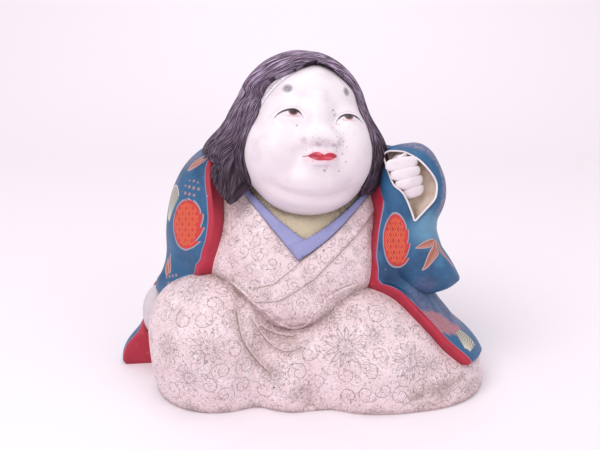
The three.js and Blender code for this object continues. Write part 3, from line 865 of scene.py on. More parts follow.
def finger(x, z, long, thick, ahead):
    """A round section along a line that bends back to the knuckle with the square of the share; the
    ends are rounded by a high power, and the joints swell by a small wave."""
    share = shares(42)
    line = np.stack([x + long * (share - 0.5), FINGER_FRONT - ahead + 8 * (share - 0.2) ** 2, z + 2.2 * (share - 0.5)], -1)
    ends = np.sqrt(np.clip(1 - (2 * np.abs(share - 0.5)) ** 3.4, 0, 1))
    half = (ends * (1 + 0.03 * np.cos(4 * np.pi * share)) * thick / 2)[:, None] * np.array([0.62, 1.0])
    side, out = np.repeat([[0.0, 1, 0]], 42, 0), np.repeat([[0, 0, 1.0]], 42, 0)
    return carried(line[1:-1], side[1:-1], out[1:-1], half[1:-1], 29, 0.85)


finger_grids = [finger(*one) for one in FINGERS]
palm_grid = full_form(np.array(PALM[:3]), lambda p: gap_to(p, PALM), 60, 40)

# %% [markdown]
# ## Strips that lie on the body
#
# The blue under-collar and the ridge where the belly ends stand out of the body.
# Each is a flat section carried along a path drawn on the front view and dropped onto the body.

# %% Under-collar, waist and cuff
UNMARKED = 99.0
STRIPS = {  # path in x and z, widths along it, how far it stands out, squareness, how soon it has its full width
    "under_collar_right": (
        [(-36, 129), (-30.9, 124.1), (-18.2, 113.4), (-6.5, 103.5), (-0.5, 98.5)], (4, 4.5, 6.4, 9.8, 12), 1.9, 0.5, 90,
    ),
    "under_collar_left": (
        [(41, 127), (36.4, 122.6), (26.2, 114.7), (16, 107.4), (5.2, 101), (-5.6, 96.2)], (3.4, 3.8, 5, 6.6, 8.4, 11.2), 2.8, 0.5, 90,
    ),
    "waist_ridge": (
        [(-60, 82), (-40.4, 74), (-28.7, 66), (-21.2, 60.2), (-13.7, 53), (-6.2, 48.5), (2, 51), (7, 60), (16.5, 69), (28.1, 73), (46, 74)], (2.4, 2.4), 1.0, 0.9, 6,
    ),
}  # fmt: skip
CUFF = (-94, 0, 37, 13, 17, 19)


def dropped(path, count):
    """A path drawn on the front view, dropped onto the body along -y from its middle plane."""
    start = np.array([(x, 0, z) for x, z in path], float)
    ahead = np.repeat([[0.0, -1, 0]], len(path), 0)
    return spline(start + ahead * reach(start, ahead, body_gap)[:, None], count)


def strip(path, width, rise, power, quick):
    """A flat section along a dropped path. quick says how soon it has its full width at the ends."""
    line = dropped(path, 70)
    ahead, out = tangents(line), outward(line, body_gap)
    share = shares(70)
    ends = np.sqrt(np.clip(quick * np.minimum(share, 1 - share), 0.05, 1))
    half = np.stack([np.interp(share, shares(len(width)), width) / 2 * ends, rise * ends], -1)
    return carried(line, unit(np.cross(out, ahead)), out, half, 29, power)


def strip_field(path, width, *_):
    """Distance from the strip's nearer edge, for each point of its front: half the width times one less
    the cosine."""
    angle = np.linspace(0, 2 * np.pi, 29)
    half = np.interp(np.clip(np.arange(-1, 71) / 69, 0, 1), shares(len(width)), width)[:, None] / 2
    edge = half * (1 - np.abs(np.cos(angle)))
    return np.stack([edge, *[np.full_like(edge, UNMARKED)] * 3], -1)


strip_grids = {name: strip(*values) for name, values in STRIPS.items()}
cuff_grid = full_form(np.array(CUFF[:3]), lambda p: gap_to(p, CUFF), 60, 40)

# %% [markdown]
# Dirt and painted shade lie along every line where one cloth lies over another, with a painted highlight
# beside it. So each corner of the kimono's faces carries, in a second map "Lines", how far it is from the
# nearest pressed line and from the nearest deep crease, and in "Field" how far it is from the rims of the coat.


# %% Distances to lines, creases and rims
def collar_rims(points):
    """Distance out from the rim of the upper collar, less than nothing on the collar."""
    path, width, _ = COLLARS[0]
    far, share = path_distance(points[..., [0, 2]], spline(path, 40))
    rim = far - np.interp(share, shares(len(width)), width) / 2
    return rim + 60 * ramp(np.abs(share - 0.5), 0.46, 0.5) + 60 * (points[..., 1] > 0)


def line_distance(points, folds):
    """Distance to the nearest fold's path, less than nothing on its right side, so that the painted
    line is as even between the points of the grid as on them. The cross product tells the side."""
    flat, found = points[..., [0, 2]], np.full(points.shape[:-1], 1e3)
    for fold in folds:
        path = spline(fold[0], 30)
        far, share = path_distance(flat, path)
        place = np.minimum((share * 29).astype(int), 28)
        ahead, away = path[place + 1] - path[place], flat - path[place]
        cross = ahead[..., 0] * away[..., 1] - ahead[..., 1] * away[..., 0]
        far = far + 60 * ramp(np.abs(share - 0.5), 0.3, 0.5)
        far = np.where((cross < 0) & (share > 0) & (share < 1), -far, far)
        found = np.where(np.abs(far) < np.abs(found), far, found)
    return found + 60 * (points[..., 1] > 0)


coat_rims = [coat_grid[9:-9:2, side] for side in (4, -5)]  # where the cut faces meet the kimono
CREASES = [LAP_TERRACES[0], LAP_TERRACES[1], LAP_FOLDS[0], LAP_FOLDS[4], *LAP_FOLDS[6:]]


def cloth_marks(points, thin, other_gap):
    """Four numbers per point: distance to the coat's rims, nothing, to a pressed line, to a crease."""
    rim = np.min([path_distance(points, one)[0] for one in coat_rims], 0)
    crease = np.minimum(np.abs(other_gap(points)), np.abs(line_distance(points, CREASES)) + 1.5)
    return np.stack([rim, np.zeros_like(rim), thin, crease], -1)


lap_marks = cloth_marks(lap_grid, line_distance(lap_grid, CREASES[:3]), trunk_gap)
trunk_marks = cloth_marks(trunk_grid, collar_rims(trunk_grid), lap_gap)
print("marks on the lap", lap_marks.min((0, 1)).round(2), "on the trunk", trunk_marks.min((0, 1)).round(2))

# %% [markdown]
# ## One casting
#
# The forms overlap deeply. They could simply be left inside each other, but the real figure has one
# skin, and hidden walls would only cost faces. Boolean modifiers melt them into one. The exact join
# (solver MANIFOLD) needs closed meshes that face outwards, which is what the grids gave.


# %% Join
def joined(base, others, how="UNION"):
    """The base with the others joined to it or cut from it; the others are removed."""
    for other in others:
        cut = base.modifiers.new(other.name, "BOOLEAN")
        cut.object, cut.operation, cut.solver = other, how, "MANIFOLD"
        if hasattr(cut, "material_mode"):
            cut.material_mode = "TRANSFER"
    whole = bpy.data.meshes.new_from_object(base.evaluated_get(bpy.context.evaluated_depsgraph_get()))
    base.modifiers.clear()
    base.data = whole
    for other in others:
        bpy.data.objects.remove(other)
    print(base.name, "with", len(others), "joined:", len(whole.polygons), "faces")
    return base


def two(values):
    """A single number per point as a pair, for a UV map."""
    return np.stack([values, np.zeros_like(values)], -1)


sleeve = skin("sleeve", sleeve_grid, [finish["coat_plain"]], field=two(np.full(sleeve_grid.shape[:2], 99.0)))
coat = skin("coat", coat_grid, [finish["coat_plain"]], field=two(coat_edge))
mouth = skin("mouth_cut", mouth_grid, [finish["sleeve_inside"]])
joined(coat, [sleeve])
joined(coat, [mouth], "DIFFERENCE")

figure = skin("otafuku", lap_grid, [finish["kimono_plain"]], field=lap_marks)
others = [
    skin("trunk", trunk_grid, [finish["kimono_plain"], finish["neck_clay"]], field=trunk_marks, finish_of=bare),
    skin("neck", neck_grid, [finish["neck_clay"]]),
    skin("head", head_grid, [finish["face_white"]]),
    skin("hair_right", hair_right, [finish["hair_dark"]], field=hair_right_field),
    skin("hair_left", hair_left, [finish["hair_dark"]], field=hair_left_field),
    skin("cuff", cuff_grid, [finish["cuff_grey"]]),
    skin("palm", palm_grid, [finish["hand_white"]]),
    skin("mouth_hem", hem_grid, [finish["sleeve_rim"]]),
    coat,
]
others += [skin(f"finger_{k + 1}", grid, [finish["hand_white"]]) for k, grid in enumerate(finger_grids)]
others += [
    skin(name, grid, [finish["collar_blue"]], field=strip_field(*STRIPS[name]))
    if "collar" in name
    else skin(name, grid, [finish["kimono_plain"]], field=np.full((*grid.shape[:2], 4), UNMARKED))
    for name, grid in strip_grids.items()
]
joined(figure, others)

# %% [markdown]
# Pockets may stay closed in between forms that arch over each other. Nobody sees them, and a casting
# has none, so only the skin with the most points is kept. Edges sharper than 48 degrees stay sharp in
# the shading; all others are smooth.


# %% Keep the outer skin
def outer_skin(mesh):
    """Keeps the connected skin with the most points."""
    edit = bmesh.new()
    edit.from_mesh(mesh)
    left = set(edit.verts)
    skins = []
    while left:
        front = [left.pop()]
        found = set(front)
        while front:
            near = {edge.other_vert(vert) for vert in front for edge in vert.link_edges} & left
            left -= near
            found |= near
            front = list(near)
        skins.append(found)
    skins.sort(key=len, reverse=True)
    for inner in skins[1:]:
        bmesh.ops.delete(edit, geom=list(inner), context="VERTS")
    open_edges = sum(not edge.is_manifold for edge in edit.edges)
    edit.to_mesh(mesh)
    edit.free()
    mesh.shade_smooth()
    mesh.set_sharp_from_angle(angle=math.radians(48))
    mesh.calc_loop_triangles()
    print("skins found", len(skins), "kept faces", len(mesh.polygons), "triangles", len(mesh.loop_triangles))
    print("open edges", open_edges)


outer_skin(figure.data)
print("materials on the skin:", [slot.name for slot in figure.data.materials])

# %% [markdown]
# ## Where the painted motifs go
#
# The painter drew every scroll and flower by hand, side by side, as the form allowed. A tiling
# texture would stretch over the knees and show seams. So each motif gets a place on the skin, and
# each face belongs to the nearest motif. For the corners of its faces the motif's own coordinates are
# stored in the "Pattern" map: the offset from the motif's middle, laid flat. The places come from
# farthest-point sampling: always add the face that is farthest from all motifs so far, which packs
# them evenly without a grid.

# %% Read the skin back as arrays
mesh = figure.data
face_count, corner_count = len(mesh.polygons), len(mesh.loops)


def read(collection, name, size, kind=np.float32):
    values = np.empty(len(collection) * size, kind)
    collection.foreach_get(name, values)
    return values.reshape(-1, size) if size > 1 else values


vertex_at = read(mesh.vertices, "co", 3) / MM + MIDDLE
face_at = read(mesh.polygons, "center", 3) / MM + MIDDLE
face_out = read(mesh.polygons, "normal", 3)
face_size = read(mesh.polygons, "loop_total", 1, np.int32)
face_finish = read(mesh.polygons, "material_index", 1, np.int32)
corner_vertex = read(mesh.loops, "vertex_index", 1, np.int32)
corner_face = np.repeat(np.arange(face_count), face_size)
slot_of = {material.name: k for k, material in enumerate(mesh.materials)}
pattern = np.zeros((corner_count, 2))
rng = np.random.default_rng(7)


def scattered(places, spacing, first, first_reach, count):
    """Farthest-point sampling: distance to the motifs so far over the wanted spacing there; the
    largest is added while it is above 1. first are indices that are given, with their reach."""
    gap = np.full(len(places), 1e9)
    for index, reach_of in zip(first, first_reach):
        gap = np.minimum(gap, (np.linalg.norm(places - places[index], axis=1) - reach_of) / spacing + 0.55)
    chosen = []
    for _ in range(count):
        index = int(np.argmax(gap))
        if gap[index] < 1:
            break
        chosen.append(index)
        gap = np.minimum(gap, np.linalg.norm(places - places[index], axis=1) / spacing)
    return chosen


def nearest(places, spots):
    """Index of the nearest place for each spot."""
    return [int(np.argmin(np.linalg.norm(places - np.array(spot), axis=1))) for spot in spots]


def stamp(faces, motif_of, middles, outs, turns, sizes, flips):
    """Lays the motifs' own coordinates on the corners of faces: the offset from the motif's middle
    along two directions in its plane, stretched so that it keeps its full length round the form, then
    turned, mirrored and scaled."""
    up = np.array([0, 0, 1.0]) + 0.001 * np.array([1, -1, 0])
    side = unit(np.cross(up, outs))
    rise = np.cross(outs, side)
    motif = np.full(face_count, -1)
    motif[faces] = motif_of
    chosen = np.flatnonzero(motif[corner_face] >= 0)
    m = motif[corner_face[chosen]]
    away = vertex_at[corner_vertex[chosen]] - middles[m]
    flat = np.stack([(away * side[m]).sum(1), (away * rise[m]).sum(1)], -1)
    flat *= (np.linalg.norm(away, axis=1) / np.maximum(np.linalg.norm(flat, axis=1), 1e-6))[:, None]
    c, s = np.cos(turns[m]), np.sin(turns[m])
    laid = np.stack([(c * flat[:, 0] + s * flat[:, 1]) * flips[m], -s * flat[:, 0] + c * flat[:, 1]], -1)
    pattern[chosen] = laid / sizes[m].reshape(len(m), -1)


# %% Motifs on the kimono
FLOWERS = [  # middle and size, where 1 is a flower 21 mm across
    ((-57, -82.7, 45), 1.0), ((-82.1, -72.7, 40.7), 0.85), ((-68.2, -81, 24.9), 0.9), ((26.6, -71.6, 40.3), 1.2),
    ((-64.9, -53.8, 69.6), 0.9), ((62, -70, 30), 1.05), ((-12, -66, 22), 0.8), ((84, -66, 12), 0.8), ((-92, -40, 24), 0.9),
]  # fmt: skip
SPIRALS = [
    (-69.7, -71, 58.1), (-59.4, -73.4, 59.1), (-49.1, -56.1, 69.4), (-41.7, -80.8, 43.2), (-47.4, -83, 29.2), (-37.4, -78.4, 19.3),
    (-55.3, -82.9, 20.4), (-21.5, -70.7, 14.6), (45.4, -77.5, 38.6), (27, -78.5, 25.7), (40.5, -81.4, 29), (2.4, -68.6, 33.7),
    (28.1, -78.8, 12.1), (48.4, -82.9, 17.3),
]  # fmt: skip
LAP_SPACING, CHEST_SPACING, CHEST_SIZE = 12.6, 8.6, 0.66
WAIST = np.array([(-70, 86), (-44, 76), (-28, 66), (-18, 54), (-7, 46), (3, 52), (18, 66), (42, 75), (70, 80)], float).T

cloth = np.flatnonzero((face_finish == slot_of["kimono_plain"]) & ~((face_out[:, 2] < -0.9) & (face_at[:, 2] < 1)))
cloth_at = face_at[cloth]
chest = cloth_at[:, 2] > np.interp(cloth_at[:, 0], *WAIST)
flowers = nearest(cloth_at, [middle for middle, _ in FLOWERS])
flower_sizes = np.array([size for _, size in FLOWERS])
set_by_hand = flowers + nearest(cloth_at, SPIRALS)
more = scattered(
    cloth_at, np.where(chest, CHEST_SPACING, LAP_SPACING), set_by_hand,
    np.r_[10.5 * flower_sizes, np.full(len(SPIRALS), 5.0)], 900,
)  # fmt: skip
centres = np.array(set_by_hand + more)
kind = np.full(len(centres), "scroll", object)
kind[: len(flowers)] = "flower"
free = np.arange(len(centres)) >= len(set_by_hand)
lot = rng.random(len(centres))
kind[free & (lot < 0.2)] = "sprig"
kind[free & (lot > 0.93)] = "flower"
size = np.where(chest[centres], CHEST_SIZE, 1.0) * rng.uniform(0.9, 1.08, len(centres))
size[: len(flowers)] = flower_sizes
size[free & (lot > 0.93)] *= 0.62
reach_of = np.select([kind == "flower", kind == "sprig"], [10.0, 4.2], 5.6) * size
best = np.full(len(cloth), 1e9)
owner = np.zeros(len(cloth), int)
for index, centre in enumerate(centres):
    away = np.linalg.norm(cloth_at - cloth_at[centre], axis=1) - reach_of[index]
    owner = np.where(away < best, index, owner)
    best = np.minimum(best, away)
stamp(
    cloth, owner, cloth_at[centres], face_out[cloth[centres]], rng.uniform(0, 2 * np.pi, len(centres)), size,
    rng.choice([-1.0, 1.0], len(centres)),
)  # fmt: skip


def give(faces, name):
    """Gives faces the finish of a name, adding it to the mesh's list when it is new there."""
    if name not in slot_of:
        mesh.materials.append(finish[name])
        slot_of[name] = len(slot_of)
    face_finish[faces] = slot_of[name]


for name in ("scroll", "flower", "sprig"):
    give(cloth[kind[owner] == name], f"kimono_{name}")
give(np.flatnonzero((face_out[:, 2] < -0.9) & (face_at[:, 2] < 1)), "bare_foot")
print("motifs on the kimono:", {name: int((kind == name).sum()) for name in ("scroll", "flower", "sprig")})

# %% Motifs on the coat
COAT_MOTIFS = [  # finish, middle, turn in degrees, size across, size along
    ("cone", (-72.4, -33, 106.6), 10, 1.3, 1.0),
    ("cone", (56.4, -44, 100.4), 4, 0.74, 1.12),
    ("leaf", (-66, -16, 141), -33, 1.0, 1.0),
    ("spray", (-68.6, -27, 128), 0, 0.9, 0.85),
    ("fan", (-84, -12, 115), 0, 0.9, 1.45),
    ("leaves", (79.7, -40, 98.5), 0, 1.0, 1.0),
    ("spray", (-84, -32, 70), 20, 0.6, 0.8), ("leaf", (-87, -26, 78), 25, 1.0, 0.9),
    ("pine", (90, -52, 54), -34, 1.6, 1.25),
    ("fan", (103, -46, 34), -60, 0.9, 1.0),
    ("leaves", (-96, 30, 70), 30, 1.2, 1.2), ("cone", (-70, 62, 96), 10, 1.1, 1.1), ("fan", (-92, 44, 36), 20, 1.2, 1.2),
    ("leaves", (-34, 80, 64), 160, 1.3, 1.3), ("cone", (-2, 84, 96), 0, 1.2, 1.2), ("spray", (-14, 84, 34), 0, 1.3, 1.3),
    ("leaves", (34, 78, 70), 30, 1.3, 1.3), ("cone", (70, 54, 96), -12, 1.1, 1.1), ("fan", (46, 80, 30), -10, 1.3, 1.3),
    ("leaves", (96, 24, 60), -30, 1.2, 1.2), ("spray", (92, 20, 96), 0, 1.2, 1.2), ("pine", (104, -6, 50), 30, 1.0, 1.0),
    ("spray", (-50, 70, 140), 0, 1.0, 1.0), ("leaf", (52, 44, 138), 20, 1.2, 1.2), ("leaf", (-104, 10, 40), 10, 1.0, 1.0),
]  # fmt: skip
REACHES = {"cone": 21, "leaves": 29, "leaf": 13, "spray": 11.5, "fan": 13, "pine": 17}
coat_faces = np.flatnonzero(face_finish == slot_of["coat_plain"])
coat_at = face_at[coat_faces]
coat_centres = np.array(nearest(coat_at, [one[1] for one in COAT_MOTIFS]))
coat_reach = np.array([REACHES[one[0]] * max(one[3:]) for one in COAT_MOTIFS])
ratio = np.stack([np.linalg.norm(coat_at - coat_at[c], axis=1) / r for c, r in zip(coat_centres, coat_reach)], 1)
coat_owner = np.argmin(ratio, 1)
marked = ratio.min(1) < 1
coat_kind = np.array([one[0] for one in COAT_MOTIFS])
stamp(
    coat_faces[marked], coat_owner[marked], coat_at[coat_centres], face_out[coat_faces[coat_centres]],
    np.radians([one[2] for one in COAT_MOTIFS]), np.array([one[3:] for one in COAT_MOTIFS], float), np.ones(len(COAT_MOTIFS)),
)  # fmt: skip
for name in REACHES:
    give(coat_faces[marked & (coat_kind[coat_owner] == name)], f"coat_{name}")

# %% The face's own coordinates
head_corners = np.flatnonzero((face_finish == slot_of["face_white"])[corner_face])
pattern[head_corners] = turned(vertex_at[corner_vertex[head_corners]], back=True)[:, [0, 2]]
layer = mesh.uv_layers.new(name="Pattern")
layer.data.foreach_set("uv", pattern.astype(np.float32).ravel())
mesh.polygons.foreach_set("material_index", face_finish)
mesh.update()

# %% [markdown]
# ## A small language for paint
#
# The paint is drawn by formulas in nodes: a line is where a distance is small. Wiring hundreds of
# Math nodes by hand is hard to read, so a number worked out by nodes is wrapped in a class whose
# arithmetic adds the nodes. A finish then reads like its formula.


# %% Numbers worked out by nodes
class Field:
    """A number that nodes work out at each place of the surface."""

    def __init__(self, tree, socket):
        self.tree, self.socket = tree, socket

    def math(self, how, *others):
        node = self.tree.nodes.new("ShaderNodeMath")
        node.operation = how
        for slot, value in zip(node.inputs, (self, *others)):
            if isinstance(value, Field):
                self.tree.links.new(value.socket, slot)
            else:
                slot.default_value = value
        return Field(self.tree, node.outputs[0])

    def __add__(self, other):
        return self.math("ADD", other)

    def __sub__(self, other):
        return self.math("SUBTRACT", other)

    def __mul__(self, other):
        return self.math("MULTIPLY", other)

    def __truediv__(self, other):
        return self.math("DIVIDE", other)

    def __abs__(self):
        return self.math("ABSOLUTE")

    def __neg__(self):
        return self * -1

    __radd__, __rmul__ = __add__, __mul__

    def __rsub__(self, other):
        return -self + other

    def step(self, low, high):
        """0 at low, 1 at high, a smooth S between; low may be the larger one."""
        node = self.tree.nodes.new("ShaderNodeMapRange")
        node.interpolation_type = "SMOOTHSTEP"
        self.tree.links.new(self.socket, node.inputs["Value"])
        for name, value in (("From Min", low), ("From Max", high)):
            if isinstance(value, Field):
                self.tree.links.new(value.socket, node.inputs[name])
            else:
                node.inputs[name].default_value = value
        return Field(self.tree, node.outputs["Result"])


def lower(a, b):
    return a.math("MINIMUM", b)


def higher(a, b):
    return a.math("MAXIMUM", b)


def length(a, b):
    return (a * a + b * b).math("SQRT")


def on_line(distance, width, soft=0.14):
    """1 where the distance, either way, is under half the width, with a soft edge."""
    half = width * 0.5
    return abs(distance).step(half + soft, half - soft)


def saw(value):
    """How far along its unit step a number is, from -0.5 to 0.5."""
    return value.math("FRACT") - 0.5


# %% A material under the brush
class Brush:
    """Fills a material's nodes: gives places and noises as fields, and lays colours over each other."""

    def __init__(self, name):
        material = finish[name]
        material.use_nodes = True
        self.tree = material.node_tree
        self.shader = self.tree.nodes["Principled BSDF"]
        spot = self.node("ShaderNodeTexCoord")
        metres = self.node("ShaderNodeVectorMath", operation="SCALE")
        self.tree.links.new(spot.outputs["Object"], metres.inputs[0])
        metres.inputs["Scale"].default_value = 1 / MM
        self.at = metres.outputs[0]
        self.colour = None
        self.height = None

    def node(self, kind, **settings):
        node = self.tree.nodes.new(kind)
        for key, value in settings.items():
            setattr(node, key, value)
        return node

    def xyz(self):
        """The place in millimetres from the middle of the underside."""
        parts = self.node("ShaderNodeSeparateXYZ")
        self.tree.links.new(self.at, parts.inputs[0])
        return [Field(self.tree, out) for out in parts.outputs]

    def uv(self, name):
        parts = self.node("ShaderNodeSeparateXYZ")
        self.tree.links.new(self.node("ShaderNodeUVMap", uv_map=name).outputs[0], parts.inputs[0])
        return [Field(self.tree, out) for out in parts.outputs[:2]]

    def noise(self, size, detail=3.0, rough=0.55, stretch=None):
        """Cloudy noise from 0 to 1 with lumps of a size in millimetres, or stretched per axis."""
        node = self.node("ShaderNodeTexNoise")
        node.inputs["Scale"].default_value = 1 / size
        node.inputs["Detail"].default_value = detail
        node.inputs["Roughness"].default_value = rough
        source = self.at
        if stretch is not None:
            wide = self.node("ShaderNodeMapping")
            wide.inputs["Scale"].default_value = stretch
            self.tree.links.new(source, wide.inputs[0])
            source = wide.outputs[0]
        self.tree.links.new(source, node.inputs["Vector"])
        return Field(self.tree, node.outputs[0])

    def noise_on(self, u, v, size, detail=2.0):
        """The same on two numbers instead of on the place."""
        both = self.node("ShaderNodeCombineXYZ")
        for slot, value in zip(both.inputs, (u, v)):
            self.tree.links.new(value.socket, slot)
        node = self.node("ShaderNodeTexNoise")
        node.inputs["Scale"].default_value = 1 / size
        node.inputs["Detail"].default_value = detail
        self.tree.links.new(both.outputs[0], node.inputs["Vector"])
        return Field(self.tree, node.outputs[0])

    def specks(self, spacing, radius):
        """Round specks: places near the points of a Voronoi pattern, each with its own radius."""
        node = self.node("ShaderNodeTexVoronoi")
        node.inputs["Scale"].default_value = 1 / spacing
        self.tree.links.new(self.at, node.inputs["Vector"])
        part = self.node("ShaderNodeSeparateColor")
        self.tree.links.new(node.outputs["Color"], part.inputs[0])
        away = Field(self.tree, node.outputs["Distance"]) * spacing
        own = Field(self.tree, part.outputs[0]) * radius
        return away.step(own + 0.1, own - 0.1)

    def hollow(self, reach_mm, low, high):
        """0 on open ground and up to 1 deep in a recess: how much of the sky nearby walls hide."""
        node = self.node("ShaderNodeAmbientOcclusion", samples=6)
        node.inputs["Distance"].default_value = reach_mm * MM
        return Field(self.tree, node.outputs["AO"]).step(high, low)

    def lay(self, colour, share=None):
        """Lays a colour, or a socket of one, over what is there by a share."""
        if isinstance(colour, str):
            value = [int(colour[k : k + 2], 16) / 255 for k in (1, 3, 5)]
            colour = (*[v / 12.92 if v <= 0.04045 else ((v + 0.055) / 1.055) ** 2.4 for v in value], 1)
        if self.colour is None and share is None:
            self.colour = colour
            return
        node = self.node("ShaderNodeMix", data_type="RGBA")
        for slot, value in ((node.inputs["Factor"], share), (node.inputs[6], self.colour), (node.inputs[7], colour)):
            if isinstance(value, Field):
                self.tree.links.new(value.socket, slot)
            elif isinstance(value, bpy.types.NodeSocket):
                self.tree.links.new(value, slot)
            else:
                slot.default_value = value
        self.colour = node.outputs[2]

    def raise_by(self, height):
        """Adds a height in millimetres to the fine relief."""
        self.height = height if self.height is None else self.height + height

    def done(self, rough, sheen=0.0, coat=0.0, rough_by=None, shine=0.5):
        """Joins colour, roughness and relief to the shader."""
        self.tree.links.new(self.colour, self.shader.inputs["Base Color"])
        self.shader.inputs["Roughness"].default_value = rough
        if rough_by is not None:
            self.tree.links.new(rough_by.socket, self.shader.inputs["Roughness"])
        self.shader.inputs["Specular IOR Level"].default_value = shine
        self.shader.inputs["Coat Weight"].default_value = coat
        self.shader.inputs["Coat Roughness"].default_value = 0.35
        if self.height is not None:
            bump = self.node("ShaderNodeBump")
            bump.inputs["Distance"].default_value = MM
            self.tree.links.new(self.height.socket, bump.inputs["Height"])
            self.tree.links.new(bump.outputs[0], self.shader.inputs["Normal"])


# %% [markdown]
# ## The kimono
#
# The kimono is a pinkish cream ground with thin grey-brown drawing: curled scrolls, chrysanthemums and
# little leaves. Years of handling left dirt in the creases, fine brown specks and a few dark pits. The
# darkening in the creases and recesses is that dirt and painted shade together; the recesses are found by
# Ambient Occlusion, the same from every side. A thin painted highlight runs beside each pressed line.


# %% Kimono
def cloth_ground(brush):
    """Ground colour, clouds in it, fine grain in the relief, and the small curls between the motifs, which
    are where a noise crosses its middle."""
    brush.lay("#efdade")
    brush.lay("#dfc6ca", brush.noise(16, 4).step(0.42, 0.72) * 0.7)
    brush.lay("#faeef0", brush.noise(9, 3).step(0.52, 0.75) * 0.75)
    grain = brush.noise(0.9, 2)
    brush.lay("#b89e9b", grain.step(0.58, 0.8) * 0.5)
    scribble = on_line((brush.noise(2.8, 1.2) - 0.5) * 9, 0.36, 0.2)
    brush.lay("#8d7c7d", scribble * brush.noise(7, 2).step(0.3, 0.48) * 0.7)
    brush.raise_by(grain * 0.12 + brush.noise(3.5, 2) * 0.16)


def cloth_age_and_painted_light(brush):
    """Specks and pits; dirt and painted shade in the recesses, near the creases and along the pressed lines; a painted
    highlight as a pale line beside each pressed line; pale bare ground beside the coat's rims.
    """
    rim = brush.uv("Field")[0]
    thin, crease = brush.uv("Lines")
    patchy = brush.noise(2.0, 3).step(0.32, 0.7) * 0.75 + 0.25
    brush.lay("#8d746a", brush.specks(2.6, 0.34) * 0.5)
    brush.lay("#6b4a3c", brush.specks(7.5, 0.75) * 0.8)
    # dirt and painted shade in the recesses
    brush.lay("#a58d88", brush.hollow(9, 0.35, 0.93) * patchy * 0.7)
    # dirt and painted shade near the creases
    brush.lay("#a38a84", crease.step(7.5, 0.5) * patchy * 0.65)
    brush.lay("#8f7466", crease.step(16, 3) * brush.noise(1.3, 3).step(0.5, 0.66) * 0.4)
    brush.lay("#6f5147", brush.specks(2.1, 0.62) * crease.step(15, 1) * brush.noise(5, 2).step(0.4, 0.6) * 0.75)
    # dirt and painted shade along the pressed lines
    brush.lay("#a88f8b", abs(thin).step(2.6, 0.3) * patchy * 0.45)
    # painted highlight: a pale line beside each pressed line
    brush.lay("#faeeee", on_line(thin - 0.9, 0.7, 0.3) * 0.38)
    # a dark line on each pressed line: dirt and painted shade
    brush.lay("#85695f", on_line(thin, 0.45) * 0.65)
    brush.lay("#fadfe2", rim.step(2.0, 1.0) * 0.75)


def drawn(brush, line):
    """A brush line of the drawing: its darkness comes and goes, and it lies in a shallow groove."""
    strength = brush.noise(5, 2).step(0.25, 0.6) * 0.5 + 0.4
    brush.lay("#7d6f72", line * strength)
    brush.raise_by(line * -0.05)


def kimono_plain():
    brush = Brush("kimono_plain")
    cloth_ground(brush)
    cloth_age_and_painted_light(brush)
    brush.done(0.62)


def kimono_scroll():
    """A scroll: the line is where the radius over the pitch, less the angle in turns, is a half. It
    starts near the middle, makes a turn and a half and runs on as a stem, with ticks along it."""
    brush = Brush("kimono_scroll")
    cloth_ground(brush)
    u, v = brush.uv("Pattern")
    radius = length(u, v) + (brush.noise(4, 1) - 0.5) * 1.2
    turns = v.math("ARCTAN2", u) / (2 * math.pi)
    pitch = 3.6
    curl = on_line(saw(radius / pitch - turns) * pitch, 0.36) * radius.step(6.5, 6.2) * radius.step(1.3, 1.7)
    stem = on_line(u - 6.2 + v * v * 0.04, 0.36) * v.step(0.4, 0.9) * v.step(7.5, 6.5)
    tick = on_line(saw(turns * 9 + radius * 0.16) * radius * 0.7, 0.36)
    ticks = tick * higher(radius.step(3.2, 3.6) * radius.step(5.0, 4.5), radius.step(7.2, 7.6) * radius.step(9.0, 8.4))
    drawn(brush, higher(higher(curl, stem), ticks * 0.55))
    cloth_age_and_painted_light(brush)
    brush.done(0.62)


def kimono_flower():
    """A chrysanthemum: the angle folded into one petal's sector, where an ellipse is the petal."""
    brush = Brush("kimono_flower")
    cloth_ground(brush)
    u, v = brush.uv("Pattern")
    radius = length(u, v) + (brush.noise(5, 1) - 0.5) * 2.4
    turns = v.math("ARCTAN2", u) / (2 * math.pi) + (brush.noise(6, 1) - 0.5) * 0.05

    def petals(count, middle, half_long, half_wide, shift):
        across = saw(turns * count + shift) * radius * (2 * math.pi / count)
        oval = length(across / half_wide, (radius - middle) / half_long)
        return higher(on_line((oval - 1) * half_wide, 0.34) * 0.85, oval.step(0.95, 0.6) * 0.16)

    outer = petals(13, 6.9, 3.2, 1.05, 0.0)
    inner = petals(7, 2.4, 1.2, 0.7, 0.3) * 0.6
    dot = radius.step(1.0, 0.6) * 0.7
    tips = on_line(saw(turns * 30) * radius * 0.2, 0.4) * radius.step(10.4, 10.8) * radius.step(12.4, 11.6)
    drawn(brush, higher(higher(outer, inner), higher(dot, tips * 0.7)))
    cloth_age_and_painted_light(brush)
    brush.done(0.62)


def kimono_sprig():
    """A sprig: a stem with pairs of leaves, mirrored about it."""
    brush = Brush("kimono_sprig")
    cloth_ground(brush)
    u, v = brush.uv("Pattern")
    wide = abs(u)
    line = on_line(u, 0.35) * abs(v).step(4.2, 3.8)
    for rise in (-2.6, 0.2, 3.0):
        along_leaf = (wide - 1.9) * 0.77 + (v - rise) * 0.64
        across_leaf = (v - rise) * 0.77 - (wide - 1.9) * 0.64
        line = higher(line, on_line((length(along_leaf / 1.9, across_leaf / 0.75) - 1) * 0.8, 0.34))
    curls = on_line(length(wide - 4.6, v + 0.5) - 1.3, 0.35)
    drawn(brush, higher(line, curls) * 0.75)
    cloth_age_and_painted_light(brush)
    brush.done(0.62)


for paint in (kimono_plain, kimono_scroll, kimono_flower, kimono_sprig):
    paint()

# %% [markdown]
# ## The coat
#
# The coat is teal blue over a red lining that shows as a border. Red pine cones with an orange
# lattice, salmon bamboo leaves, ribbed fans and sprays are painted on it. The "Field" map says how far
# a place is from the coat's edge, so the border has one clean line at its rim: pale lilac.


